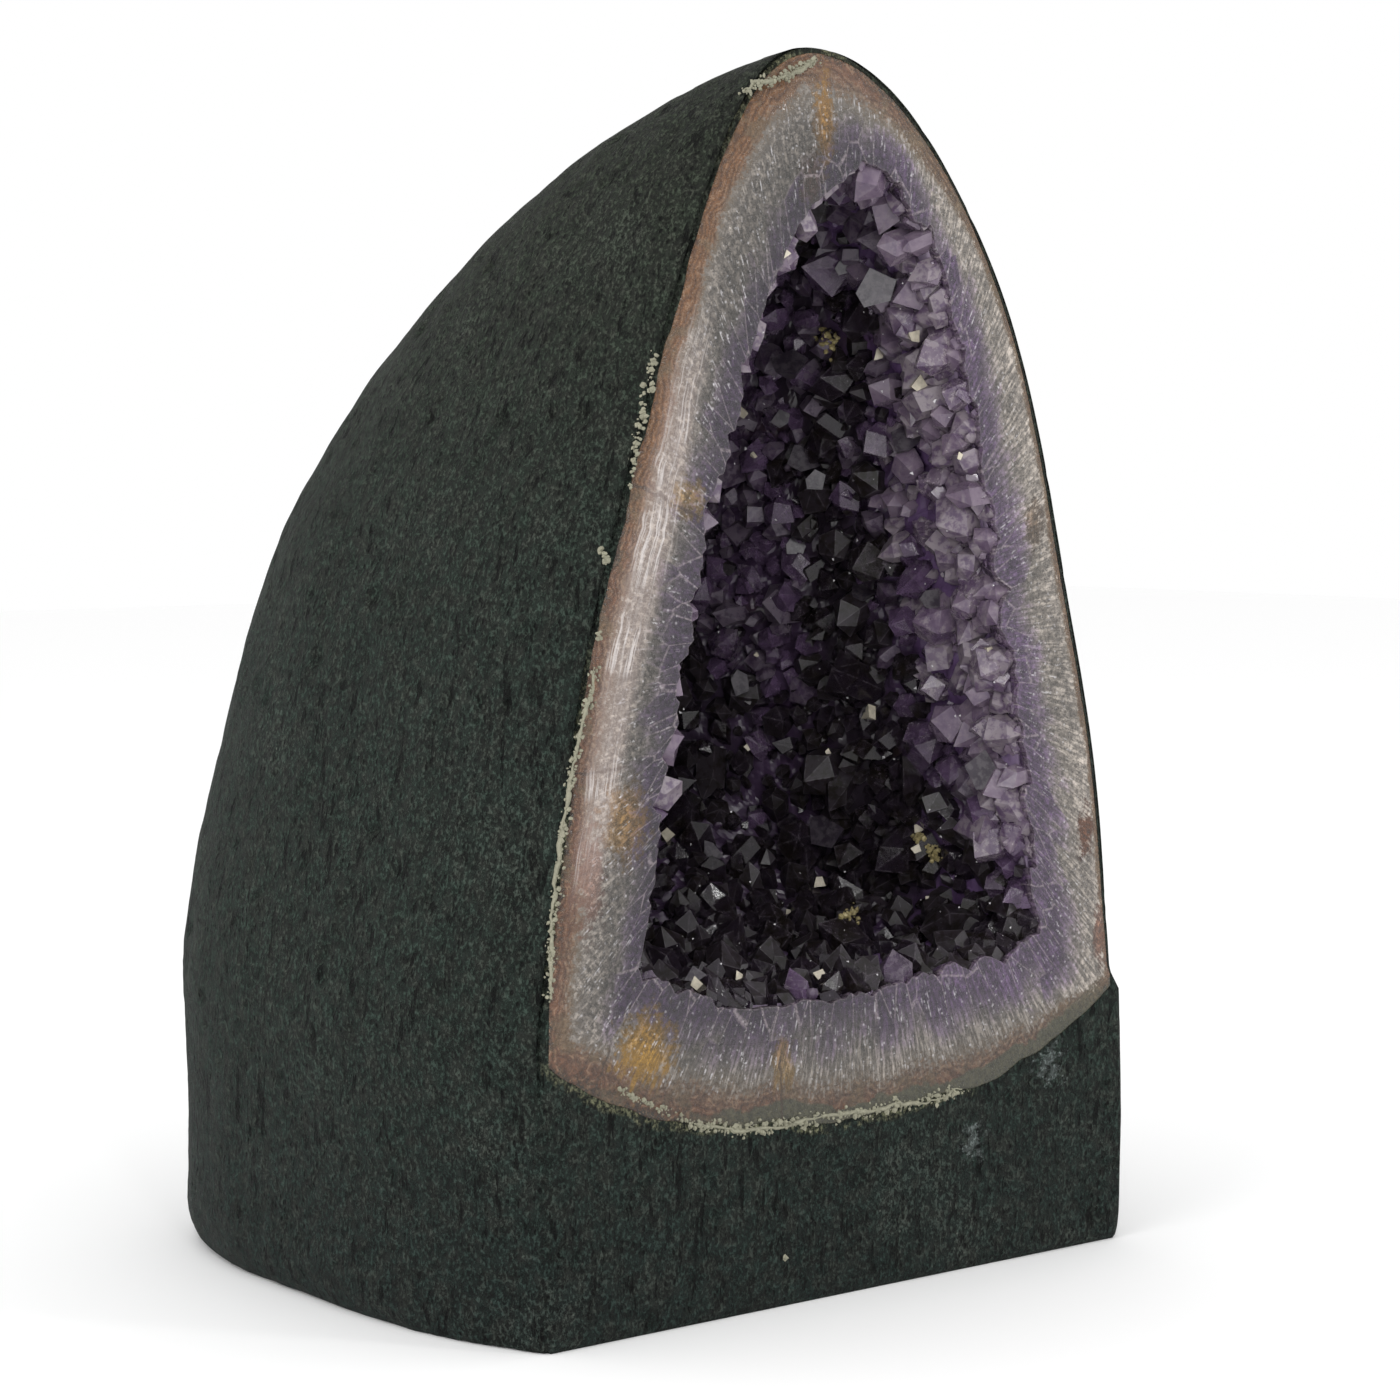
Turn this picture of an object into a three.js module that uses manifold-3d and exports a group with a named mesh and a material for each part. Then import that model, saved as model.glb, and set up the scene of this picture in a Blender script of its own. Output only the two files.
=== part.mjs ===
// An amethyst cathedral geode: a tall hollow nodule, sawn open down the front so that it stands on a flat foot.
// From the outside in it has a jacket of painted cement over basalt, a rind of banded agate and quartz that shows
// as the polished rim, and a crust of amethyst points that lines the hollow.
// Millimetres. X is across the sawn face, +Y runs from the face to the back, +Z is up, and the origin is the
// middle of the foot.
import * as THREE from "three";
import { mergeVertices } from "three/addons/utils/BufferGeometryUtils.js";
import Module from "manifold-3d";

const wasm = await Module();
wasm.setup();

// The whole geode.
const HEIGHT = 260;
const DEPTH = 162;
const FACE_Y = -DEPTH / 2;

// The pointed arches on the sawn face. Each runs straight up to its shoulder, then closes to its tip, which leans
// to one side. Its sill rises at both ends.
const ARCH_POWER = 1.3;
const JACKET_ARCH = {
  half: 79.7, shoulder: 60, tip: HEIGHT, sill: 0, sillRise: 0, sillPower: 2, lean: -8.4, leanFrom: 200,
};
const RIM_ARCH = {
  half: 78.3, shoulder: 58, tip: 258.6, sill: 38, sillRise: 20, sillPower: 3.2, lean: -8, leanFrom: 200,
};
const CRUST_ARCH = {
  half: 63.5, shoulder: 64, tip: 244, sill: 56, sillRise: 9, sillPower: 4, lean: 2, leanFrom: 140,
};
const OPENING_ARCH = {
  half: 56.5, shoulder: 68, tip: 237, sill: 63.5, sillRise: 8, sillPower: 4, lean: 5, leanFrom: 120,
};

// The outside of the body, level by level.
const BULGE = 1.16;
const FACE_PINCH = 0.04;
const WIDEST_SHARE = 0.4;
const BACK_POWER = 4;
const BACK_ROUNDING = 1.29;
const SECTION_POWER = 3.1;
const FOOT_EDGE = { height: 10, inset: 0.05, frontShare: 0.3 };
const SHOULDER = { width: 3, bottom: 56, top: 62 };
const LUMP = 0.011;
const BODY_LEVELS = 13;
const BODY_SIDES = 40;

// The polished face, rounded over towards its left and right edges.
const ROUND_OVER = { from: 0.87, left: 3, right: 1, fadeBottom: 45, fadeTop: 80 };

// The nested bowls behind the arches. The rind closes well short of the jacket's back.
const RIND_DEPTH = 122;
const CRUST_DEPTH = 101;
const HOLLOW_DEPTH = 93;
const BOWL_CENTRE_Z = 138;
const BOWL_POWER = 2.5;
const BOWL_SIDES = 40;
const BOWL_LEVELS = 6;
const LIP = 1.4;
const GAP = 0.3;
const OVERRUN = 8;

// The amethyst points.
const POINT_COUNT = 150;
const POINT_RADIUS = { least: 6.5, most: 11 };
const POINT_ROOT = 1.8;
const POINT_STEEPNESS = 1.05;
const POINT_TILT = 0.26;
const GOLDEN = (Math.sqrt(5) - 1) / 2;
const SEED = 20417;

const { clamp, lerp, smoothstep } = THREE.MathUtils;

// A repeatable stream of numbers from 0 to 1.
function makeRandom(seed) {
  let state = seed;
  return () => {
    state = (state * 16807) % 2147483647;
    return state / 2147483647;
  };
}

// How far an arch's middle stands to the right of the geode's middle at height z.
function leanAt(arch, z) {
  return arch.lean * Math.max(0, (z - arch.leanFrom) / (arch.tip - arch.leanFrom)) ** 2;
}

// Half the width of an arch at height z.
function archHalf(arch, z) {
  const share = clamp((z - arch.shoulder) / (arch.tip - arch.shoulder), 0, 1);
  return arch.half * Math.sqrt(1 - share ** ARCH_POWER);
}

// An arch as a closed curve in the plane of the face, walked to the right from the middle of its sill.
function archCurve(arch) {
  const steps = 26;
  const sill = [];
  const side = [];
  const corner = arch.sill + arch.sillRise;
  for (let i = 0; i <= steps; i++) {
    const share = i / steps;
    const z = arch.tip - (arch.tip - corner) * (1 - share) ** 2;
    side.push([archHalf(arch, z), z]);
    sill.push([arch.half * share, arch.sill + arch.sillRise * share ** arch.sillPower]);
  }
  const right = [...sill.slice(0, -1), ...side];
  const left = right.slice(1, -1).reverse().map(([x, z]) => [-x, z]);
  const points = [...right, ...left].map(([x, z]) => new THREE.Vector3(x + leanAt(arch, z), 0, z));
  return new THREE.CatmullRomCurve3(points, true, "centripetal");
}

// A closed geometry as a solid, with its faces turned outwards.
function solidOf(geometry) {
  const bare = new THREE.BufferGeometry();
  bare.setAttribute("position", geometry.getAttribute("position"));
  bare.setIndex(geometry.getIndex());
  const merged = mergeVertices(bare, 1e-3);
  const triVerts = new Uint32Array(merged.index.array);
  const vertProperties = merged.attributes.position.array;
  const made = new wasm.Manifold(new wasm.Mesh({ numProp: 3, vertProperties, triVerts }));
  if (made.volume() > 0) return made;
  return new wasm.Manifold(new wasm.Mesh({ numProp: 3, vertProperties, triVerts: triVerts.reverse() }));
}

// A turned form whose every vertex is then moved. place takes the turn from 0 to 1, the radius and the height.
function turnedSolid(profile, sides, place) {
  const points = profile.map(([radius, height]) => new THREE.Vector2(radius, height));
  const geometry = new THREE.LatheGeometry(points, sides);
  const position = geometry.getAttribute("position");
  for (let i = 0; i < position.count; i++) {
    const side = Math.floor(i / profile.length) % sides;
    const [radius, height] = profile[i % profile.length];
    position.setXYZ(i, ...place(side / sides, radius, height));
  }
  return solidOf(geometry);
}

// The body's section at height z: half widths across and along, and how far its widest place is behind the face.
function bodySection(z, inset) {
  const back = (1 - (clamp(z, 0, HEIGHT) / HEIGHT) ** BACK_POWER) ** (1 / BACK_ROUNDING);
  const depth = Math.max(DEPTH * back - 2 * inset, 0);
  return {
    across: Math.max(archHalf(JACKET_ARCH, z) - inset, 0) * BULGE,
    along: depth * (1 - WIDEST_SHARE),
    middle: depth * WIDEST_SHARE,
  };
}

// The whole bullet-shaped body, inset by some distance and not yet sawn.
function bodySolid(inset) {
  const top = HEIGHT - inset;
  const levels = [-OVERRUN, 0, FOOT_EDGE.height * 0.2, FOOT_EDGE.height * 0.5, FOOT_EDGE.height, 30];
  levels.push(SHOULDER.bottom, SHOULDER.top);
  for (let i = 1; i < BODY_LEVELS; i++) {
    levels.push(lerp(SHOULDER.top, top, Math.sin((Math.PI / 2) * (i / BODY_LEVELS))));
  }
  const profile = [[0, -OVERRUN], ...levels.map((z) => [1, z]), [0, top]];
  const power = 2 / SECTION_POWER;
  return turnedSolid(profile, BODY_SIDES, (turn, radius, z) => {
    const { across, along, middle } = bodySection(z, inset);
    const angle = 2 * Math.PI * turn;
    const x = across * Math.sign(Math.cos(angle)) * Math.abs(Math.cos(angle)) ** power;
    const y = along * Math.sign(Math.sin(angle)) * Math.abs(Math.sin(angle)) ** power;
    const nearFace = clamp(-y / Math.max(middle, 1), 0, 1);
    const foot = 1 - Math.sqrt(1 - clamp(1 - z / FOOT_EDGE.height, 0, 1) ** 2);
    const lump = Math.sin(0.045 * z + 3 * angle) * Math.cos(0.031 * z - 2 * angle) * smoothstep(z, 0, 20);
    const scale = radius * (1 + LUMP * lump - FOOT_EDGE.inset * foot * lerp(1, FOOT_EDGE.frontShare, nearFace));
    const shoulder = x > 0 ? SHOULDER.width * nearFace * (1 - smoothstep(z, SHOULDER.bottom, SHOULDER.top)) : 0;
    const pinched = x * (1 - FACE_PINCH * nearFace ** 2) + shoulder;
    return [pinched * scale + leanAt(JACKET_ARCH, z), FACE_Y + middle + y * scale, z];
  });
}

// How much of a bowl's width is left at a share of its depth.
function bowlShrink(share) {
  return Math.max(1 - share ** BOWL_POWER, 0) ** (1 / BOWL_POWER);
}

// A place on a bowl behind an arch: turn runs round the arch and shrink draws it in towards the bowl's middle.
function bowlPoint(curve, turn, shrink, y) {
  const rim = curve.getPointAt(turn % 1);
  return [rim.x * shrink, FACE_Y + y, BOWL_CENTRE_Z + (rim.z - BOWL_CENTRE_Z) * shrink];
}

// A bowl behind an arch, grown all round by some distance. It runs out in front of the face, for the saw to cut.
function bowlSolid(arch, depth, grow) {
  const { half, tip, sill } = arch;
  const curve = archCurve({ ...arch, half: half + grow, tip: tip + grow, sill: sill - grow });
  const profile = [[0, -OVERRUN], [1, -OVERRUN]];
  for (let i = 0; i < BOWL_LEVELS; i++) {
    const share = Math.sin((Math.PI / 2) * (i / BOWL_LEVELS));
    profile.push([bowlShrink(share), (depth + grow) * share]);
  }
  profile.push([0, depth + grow]);
  return turnedSolid(profile, BOWL_SIDES, (turn, radius, y) => bowlPoint(curve, turn, radius, y));
}

// Everything behind the polished face and above the foot. The face is flat but for its rounded edges.
function spaceSolid() {
  const curve = archCurve(JACKET_ARCH);
  const { from, left, right, fadeBottom, fadeTop } = ROUND_OVER;
  const outer = 1.4;
  const edge = [[from, 0], [lerp(from, 1, 0.5), 0.25], [1, 1], [outer, 4]];
  const profile = [[0, 0], ...edge, [outer, DEPTH * 2], [0, DEPTH * 2]];
  const front = turnedSolid(profile, BOWL_SIDES, (turn, radius, y) => {
    const rim = curve.getPointAt(turn);
    const depth = lerp(right, left, clamp(0.5 - rim.x / 60, 0, 1)) * smoothstep(rim.z, fadeBottom, fadeTop);
    return bowlPoint(curve, turn, radius, y < DEPTH ? y * depth : y);
  });
  const block = new THREE.BoxGeometry(DEPTH * 2, DEPTH * 4, HEIGHT * 2);
  block.translate(0, 0, HEIGHT);
  return front.intersect(solidOf(block));
}

// Where the amethyst points stand on the hollow's wall, and which way each faces. The golden ratio spreads them
// evenly: turn by turn round the arch, and by equal shares of the wall's area from the face inwards.
function pointPlaces() {
  const curve = archCurve(OPENING_ARCH);
  const wall = (turn, share) => {
    return new THREE.Vector3(...bowlPoint(curve, turn, bowlShrink(share), HOLLOW_DEPTH * share));
  };
  const steps = 60;
  const shares = [];
  const areas = [];
  for (let i = 0; i <= steps; i++) {
    shares.push(0.998 * Math.sin((Math.PI / 2) * (i / steps)));
    const run = i ? wall(0.25, shares[i]).distanceTo(wall(0.25, shares[i - 1])) : 0;
    areas.push((areas[i - 1] ?? 0) + run * bowlShrink(shares[i]));
  }
  const places = [];
  for (let i = 0; i < POINT_COUNT; i++) {
    const wanted = (areas[steps] * (i + 0.4)) / POINT_COUNT;
    const share = shares[areas.findIndex((area) => area >= wanted)];
    const turn = (i * GOLDEN) % 1;
    const place = wall(turn, share);
    const along = wall(turn + 0.004, share).sub(place);
    const deeper = wall(turn, share + 0.001).sub(place);
    const facing = new THREE.Vector3().crossVectors(along, deeper).normalize();
    places.push({ place, facing });
  }
  return places;
}

// One amethyst point: a six-sided pyramid, rooted below the ground that it grows from.
function pointSolid({ place, facing }, random) {
  const radius = lerp(POINT_RADIUS.least, POINT_RADIUS.most, random() ** 1.3);
  const height = POINT_ROOT + POINT_STEEPNESS * radius;
  const geometry = new THREE.ConeGeometry(radius, height, 6);
  geometry.rotateY(random() * Math.PI);
  geometry.translate(0, height / 2 - POINT_ROOT, 0);
  const tilt = new THREE.Vector3(random() - 0.5, random() - 0.5, random() - 0.5);
  const axis = facing.clone().addScaledVector(tilt, 2 * POINT_TILT).normalize();
  geometry.applyQuaternion(new THREE.Quaternion().setFromUnitVectors(new THREE.Vector3(0, 1, 0), axis));
  geometry.translate(place.x, place.y, place.z);
  return solidOf(geometry);
}

// A solid as a named mesh, without any pocket that is sealed inside it.
function meshOf(solid, name, material) {
  const skin = solid.decompose().reduce((best, piece) => (piece.volume() > best.volume() ? piece : best));
  const { numVert, vertProperties, triVerts } = skin.getMesh();
  const indexed = new THREE.BufferGeometry();
  indexed.setAttribute("position", new THREE.BufferAttribute(vertProperties.slice(0, numVert * 3), 3));
  indexed.setIndex(new THREE.BufferAttribute(triVerts, 1));
  const geometry = indexed.toNonIndexed();
  geometry.computeVertexNormals();
  const mesh = new THREE.Mesh(geometry, material);
  mesh.name = name;
  return mesh;
}

function cementJacket(space) {
  const hole = bowlSolid(RIM_ARCH, RIND_DEPTH, GAP).intersect(bodySolid(LIP));
  const paint = new THREE.MeshStandardMaterial({ color: 0x323835, roughness: 0.85, metalness: 0 });
  return meshOf(bodySolid(0).intersect(space).subtract(hole), "cement_jacket", paint);
}

function agateRind(space) {
  const outside = bowlSolid(RIM_ARCH, RIND_DEPTH, 0).intersect(bodySolid(LIP + GAP)).intersect(space);
  const agate = new THREE.MeshStandardMaterial({ color: 0x9a8a7d, roughness: 0.25, metalness: 0 });
  return meshOf(outside.subtract(bowlSolid(CRUST_ARCH, CRUST_DEPTH, GAP)), "agate_rind", agate);
}

function amethystCrust(space) {
  const random = makeRandom(SEED);
  const ground = bowlSolid(CRUST_ARCH, CRUST_DEPTH, 0).intersect(space);
  const bed = ground.subtract(bowlSolid(OPENING_ARCH, HOLLOW_DEPTH, 0));
  const points = pointPlaces().map((spot) => pointSolid(spot, random));
  const joined = points.reduce((sum, point) => sum.add(point)).intersect(ground);
  const amethyst = new THREE.MeshStandardMaterial({ color: 0x3b2a47, roughness: 0.15, metalness: 0 });
  return meshOf(bed.add(joined), "amethyst_crust", amethyst);
}

const space = spaceSolid();
const geode = new THREE.Group();
geode.add(cementJacket(space), agateRind(space), amethystCrust(space));

export default geode;
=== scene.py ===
"""An amethyst geode on a pale floor: a painted cement jacket, a polished agate rim and amethyst points.

Sizes are in millimetres and colours are sRGB, and both are converted where a mesh or a material is made.
X is across the sawn face, +Y runs from the face to the back and +Z is up. The origin is the foot's middle.
"""

import itertools
import logging
import math
from collections.abc import Callable
from dataclasses import dataclass
from enum import Enum

import bmesh
import bpy
import numpy as np
from mathutils.bvhtree import BVHTree
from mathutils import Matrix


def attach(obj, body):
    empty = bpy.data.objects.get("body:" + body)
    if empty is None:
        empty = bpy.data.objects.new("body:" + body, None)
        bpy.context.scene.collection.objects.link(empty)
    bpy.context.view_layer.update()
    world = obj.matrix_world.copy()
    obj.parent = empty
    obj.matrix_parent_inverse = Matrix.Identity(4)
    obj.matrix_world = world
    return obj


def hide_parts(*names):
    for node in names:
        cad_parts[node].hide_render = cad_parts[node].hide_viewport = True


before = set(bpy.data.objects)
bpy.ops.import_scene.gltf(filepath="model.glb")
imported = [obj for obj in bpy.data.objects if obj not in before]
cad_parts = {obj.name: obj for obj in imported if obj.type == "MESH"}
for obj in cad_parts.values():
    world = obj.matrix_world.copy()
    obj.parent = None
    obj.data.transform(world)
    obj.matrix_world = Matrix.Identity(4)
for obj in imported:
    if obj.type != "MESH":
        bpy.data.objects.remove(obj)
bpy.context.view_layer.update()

Array = np.ndarray
Colour = tuple[float, float, float]

MM = 0.001
FULL_TURN = 2 * math.pi
GOLDEN = (math.sqrt(5) - 1) / 2
BODY = "root"
log = logging.getLogger("geode")


def smoothstep(low: float, high: float, value: Array) -> Array:
    """Goes smoothly from 0 at low to 1 at high, which may be the lower: 3t^2 - 2t^3 of the clipped share."""
    share = np.clip((value - low) / (high - low), 0, 1)
    return share * share * (3 - 2 * share)


def unit(vectors: Array) -> Array:
    """Vectors scaled to length 1 along their last axis."""
    return vectors / np.maximum(np.linalg.norm(vectors, axis=-1, keepdims=True), 1e-9)


def hashed(cells: Array, seed: int) -> Array:
    """A repeatable number from 0 to 1 for each whole-number cell, from a hash of its three coordinates."""
    grid = cells.astype(np.int64).astype(np.uint64)
    mixed = grid[..., 0] * np.uint64(73856093) ^ grid[..., 1] * np.uint64(19349663)
    mixed = mixed ^ grid[..., 2] * np.uint64(83492791) ^ np.uint64(seed * 2654435761)
    mixed = (mixed ^ (mixed >> np.uint64(29))) * np.uint64(0xBF58476D1CE4E5B9)
    mixed = (mixed ^ (mixed >> np.uint64(32))) * np.uint64(0x94D049BB133111EB)
    return (mixed >> np.uint64(40)).astype(float) / 2**24


def soft_noise(points: Array, size: float | Array, seed: int) -> Array:
    """Smooth noise from -1 to 1 whose lumps are about one size across.

    The corners of each cube of that size hold hashed values, and a point blends the eight round it, each
    weighted by the product of its smoothed distances along the three axes.
    """
    scaled = points / size
    base = np.floor(scaled)
    near = smoothstep(0, 1, scaled - base)
    total = np.zeros(points.shape[:-1])
    for corner in itertools.product((0, 1), repeat=3):
        weight = np.prod(np.where(np.array(corner) == 1, near, 1 - near), axis=-1)
        total += weight * hashed(base + corner, seed)
    return 2 * total - 1


def dimples(points: Array, spacing: float, radius: float, share: float, seed: int) -> Array:
    """Round hollows from 0 outside to 1 at their middles.

    A share of the cubes of that spacing hold one hollow each, at a hashed place and of a hashed radius. Its
    depth is 1 minus the square of the distance over the radius.
    """
    base = np.floor(points / spacing)
    depth = np.zeros(points.shape[:-1])
    for step in itertools.product((-1, 0, 1), repeat=3):
        cell = base + step
        place = np.stack([hashed(cell, seed + axis) for axis in range(3)], axis=-1)
        reach = radius * (0.5 + hashed(cell, seed + 3))
        there = hashed(cell, seed + 4) < share
        distance = np.linalg.norm((cell + place) * spacing - points, axis=-1) / reach
        depth = np.maximum(depth, np.clip(1 - distance**2, 0, 1) * there)
    return depth


def facets(points: Array, spacing: float, seed: int) -> Array:
    """Sharp hills, 0 in their valleys and 1 at their tips: 1 minus the distance to the nearest seed."""
    base = np.floor(points / spacing)
    nearest = np.full(points.shape[:-1], 9.0)
    for step in itertools.product((-1, 0, 1), repeat=3):
        cell = base + step
        place = np.stack([hashed(cell, seed + axis) for axis in range(3)], axis=-1)
        nearest = np.minimum(nearest, np.linalg.norm(cell + place - points / spacing, axis=-1))
    return 1 - nearest


@dataclass(frozen=True)
class Arch:
    """A pointed arch on the sawn face. It runs straight up to its shoulder and closes to a leaning tip."""

    half: float
    shoulder: float
    tip: float
    sill: float
    sill_rise: float
    sill_power: float
    lean: float
    lean_from: float

    CENTRE_Z = 138.0
    CURVE = 1.3

    def half_width(self, z: Array) -> Array:
        """Half the width at height z: the half width times the root of 1 - t^1.3, t from shoulder to tip."""
        share = np.clip((z - self.shoulder) / (self.tip - self.shoulder), 0, 1)
        return self.half * np.sqrt(1 - share**self.CURVE)

    def middle(self, z: Array) -> Array:
        """How far the arch's middle stands right at height z: a square law from where its lean begins."""
        return self.lean * np.maximum(0, (z - self.lean_from) / (self.tip - self.lean_from)) ** 2

    def outline(self) -> tuple[Array, Array]:
        """x and z of the closed outline, walked to the right from the middle of the sill.

        The sill rises from its middle as its rise times a power of the share of its half width. The sides are
        closely spaced towards the tip.
        """
        share = np.linspace(0, 1, 500, endpoint=False)
        climb = np.linspace(0, 1, 1500)
        side_z = self.tip - (self.tip - self.sill - self.sill_rise) * (1 - climb) ** 2
        x = np.concatenate([self.half * share, self.half_width(side_z)])
        z = np.concatenate([self.sill + self.sill_rise * share**self.sill_power, side_z])
        x = np.concatenate([x, -x[-2:0:-1]])
        z = np.concatenate([z, z[-2:0:-1]])
        return x + self.middle(z), z

    def polar(self) -> tuple[Array, Array, Array]:
        """Angle, reach and share of the way round of each outline point, about the bowls' centre.

        The angle is 0 straight down and grows to the right. The share is by length along the outline.
        """
        x, z = self.outline()
        angle = np.arctan2(x, self.CENTRE_Z - z) % FULL_TURN
        reach = np.hypot(x, z - self.CENTRE_Z)
        steps = np.hypot(np.diff(x, append=x[0]), np.diff(z, append=z[0]))
        share = np.concatenate([[0], np.cumsum(steps)[:-1]]) / steps.sum()
        return angle, reach, share

    def angles(self, share: Array) -> Array:
        """The angles at shares of the way round the outline."""
        angle, _, way = self.polar()
        return np.interp(share % 1, np.append(way, 1), np.append(angle, FULL_TURN))

    def way(self, angle: Array) -> Array:
        """The share of the way round the outline at each angle."""
        known, _, way = self.polar()
        return np.interp(angle % FULL_TURN, np.append(known, FULL_TURN), np.append(way, 1))

    def reach(self, angle: Array) -> Array:
        """How far the outline is from the bowls' centre at each angle."""
        known, reach, _ = self.polar()
        return np.interp(angle, known, reach, period=FULL_TURN)


@dataclass(frozen=True)
class Shape:
    """The geode's outside and its nested bowls, as the CAD has them."""

    height: float = 260
    depth: float = 162
    bulge: float = 1.16
    face_pinch: float = 0.04
    widest_share: float = 0.4
    back_power: float = 4
    back_rounding: float = 1.29
    section_power: float = 3.1
    foot_height: float = 10
    foot_inset: float = 0.05
    foot_front_share: float = 0.3
    shoulder_width: float = 3
    shoulder_bottom: float = 56
    shoulder_top: float = 62
    lump: float = 0.011
    bowl_power: float = 2.5
    rind_depth: float = 122
    crust_depth: float = 101
    hollow_depth: float = 93
    lip_left: float = 1.0
    lip_right: float = 0.35
    round_from: float = 0.87
    round_left: float = 3
    round_right: float = 1
    jacket: Arch = Arch(79.7, 60, 260, 0, 0, 2, -8.4, 200)
    rim: Arch = Arch(78.3, 58, 258.6, 38, 20, 3.2, -8, 200)
    crust: Arch = Arch(63.5, 64, 244, 56, 9, 4, 2, 140)
    opening: Arch = Arch(56.5, 68, 237, 63.5, 8, 4, 5, 120)

    @property
    def face_y(self) -> float:
        """Where the sawn face stands."""
        return -self.depth / 2

    def inside(self, points: Array) -> Array:
        """Whether points are inside the unsawn body.

        Each level is a superellipse, 1.16 times as wide as the arch and 0.6 of the depth behind its widest
        place. The depth at height z is 162 times (1 - (z/260)^4)^(1/1.29). A point is inside when its own
        superellipse radius is under 1, less the foot's rounding and give or take the low lumps.
        """
        x, y, z = np.moveaxis(points, -1, 0)
        level = np.clip(z, 0, self.height - 0.01)
        depth = self.depth * (1 - (level / self.height) ** self.back_power) ** (1 / self.back_rounding)
        behind = y - self.face_y - self.widest_share * depth
        near_face = np.clip(-behind / (self.widest_share * depth), 0, 1)
        under_shoulder = 1 - smoothstep(self.shoulder_bottom, self.shoulder_top, level)
        ledge = self.shoulder_width * near_face * under_shoulder
        side = x - self.jacket.middle(level)
        side = side - np.where(side > 0, ledge, 0)
        across = self.bulge * self.jacket.half_width(level) * (1 - self.face_pinch * near_face**2)
        wide = side / np.maximum(across, 0.01)
        long = behind / ((1 - self.widest_share) * depth)
        power = self.section_power
        radius = (np.abs(wide) ** power + np.abs(long) ** power) ** (1 / power)
        backwards = np.sign(long) * np.abs(long) ** (power / 2)
        sideways = np.sign(wide) * np.abs(wide) ** (power / 2)
        angle = np.arctan2(backwards, sideways)
        lump = np.sin(0.045 * level + 3 * angle) * np.cos(0.031 * level - 2 * angle)
        lump = lump * smoothstep(0, 20, level)
        foot = 1 - np.sqrt(1 - np.clip(1 - level / self.foot_height, 0, 1) ** 2)
        foot = self.foot_inset * foot * (1 - (1 - self.foot_front_share) * near_face)
        return (radius < 1 + self.lump * lump - foot) & (z > 0) & (z < self.height)

    def outside_along(self, start: Array, directions: Array) -> Array:
        """Where rays from inside the body leave it, found by halving the span that holds the surface."""
        near = np.zeros(directions.shape[:-1])
        far = np.full(directions.shape[:-1], 320.0)
        for _ in range(26):
            half = (near + far) / 2
            inner = self.inside(start + directions * half[..., None])
            near = np.where(inner, half, near)
            far = np.where(inner, far, half)
        return start + directions * near[..., None]

    def kept_inside(self, grid: Array, cover: float) -> Array:
        """Points drawn in towards the bowls' axis until the body covers them by that many millimetres."""
        axis = grid * np.array([0, 1, 0]) + np.array([0, 0, Arch.CENTRE_Z])
        outwards = grid - axis
        room = np.linalg.norm(self.outside_along(axis, unit(outwards)) - axis, axis=-1) - cover
        return axis + outwards * np.minimum(1, room / np.linalg.norm(outwards, axis=-1))[..., None]

    def on_face(self, angle: Array, reach: Array) -> Array:
        """Points on the plane of the face at an angle and a reach about the bowls' centre."""
        x = reach * np.sin(angle)
        z = Arch.CENTRE_Z - reach * np.cos(angle)
        return np.stack([x, np.full_like(x, self.face_y), z], axis=-1)

    def edge_reach(self, angle: Array) -> Array:
        """How far the body's edge on the face is from the bowls' centre."""
        start = np.array([0, self.face_y, Arch.CENTRE_Z])
        directions = self.on_face(angle, np.ones_like(angle)) - start
        return np.linalg.norm(self.outside_along(start, directions) - start, axis=-1)

    def rim_reach(self, angle: Array) -> Array:
        """How far the agate's outer edge is from the bowls' centre.

        It wavers by half a millimetre beside the thin lips, and by up to two millimetres over the foot.
        """
        circle = 60 * np.stack([np.sin(angle), np.cos(angle), np.zeros_like(angle)], axis=-1)
        waver = 0.35 * soft_noise(circle, 8, 11) + 0.25 * soft_noise(circle, 2.2, 12)
        wander = 1.3 * soft_noise(circle, 11, 13) + 0.7 * soft_noise(circle, 3.5, 14)
        below = smoothstep(0.6, 0.85, np.cos(angle))
        lip = self.lip_right + (self.lip_left - self.lip_right) * smoothstep(0.3, -0.3, np.sin(angle))
        room = np.minimum(self.rim.reach(angle) + 1.8 * (1 - below), self.edge_reach(angle) - lip)
        return room + waver * np.minimum(1, lip) + wander * below

    def shrink(self, share: Array) -> Array:
        """How much of a bowl's width is left at a share of its depth: (1 - s^2.5)^(1/2.5)."""
        return np.maximum(1 - share**self.bowl_power, 0) ** (1 / self.bowl_power)

    def bowl(self, arch: Arch, depth: float, angle: Array, share: Array) -> Array:
        """Points on the bowl behind an arch, at an angle and a share of the depth: the arch times shrink."""
        points = self.on_face(angle, arch.reach(angle) * self.shrink(share))
        points[..., 1] += depth * share
        return points

    def sawn(self, points: Array) -> Array:
        """Whether points are inside the body behind its sawn face."""
        return self.inside(points) & (points[..., 1] > self.face_y)

    def rounded_back(self, angle: Array, reach: Array) -> Array:
        """How far the polished face is ground back at a place near its edge.

        It grows with the square of the way from 0.87 of the body's edge to the edge itself, up to 3 mm on the
        left and 1 mm on the right, and fades out towards the foot.
        """
        edge = self.edge_reach(angle)
        rim = self.on_face(angle, edge)
        side = np.clip(0.5 - rim[..., 0] / 60, 0, 1)
        most = self.round_right + (self.round_left - self.round_right) * side
        share = np.clip((reach / edge - self.round_from) / (1 - self.round_from), 0, 1.2)
        return most * share**2 * smoothstep(45, 80, rim[..., 2])


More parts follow.
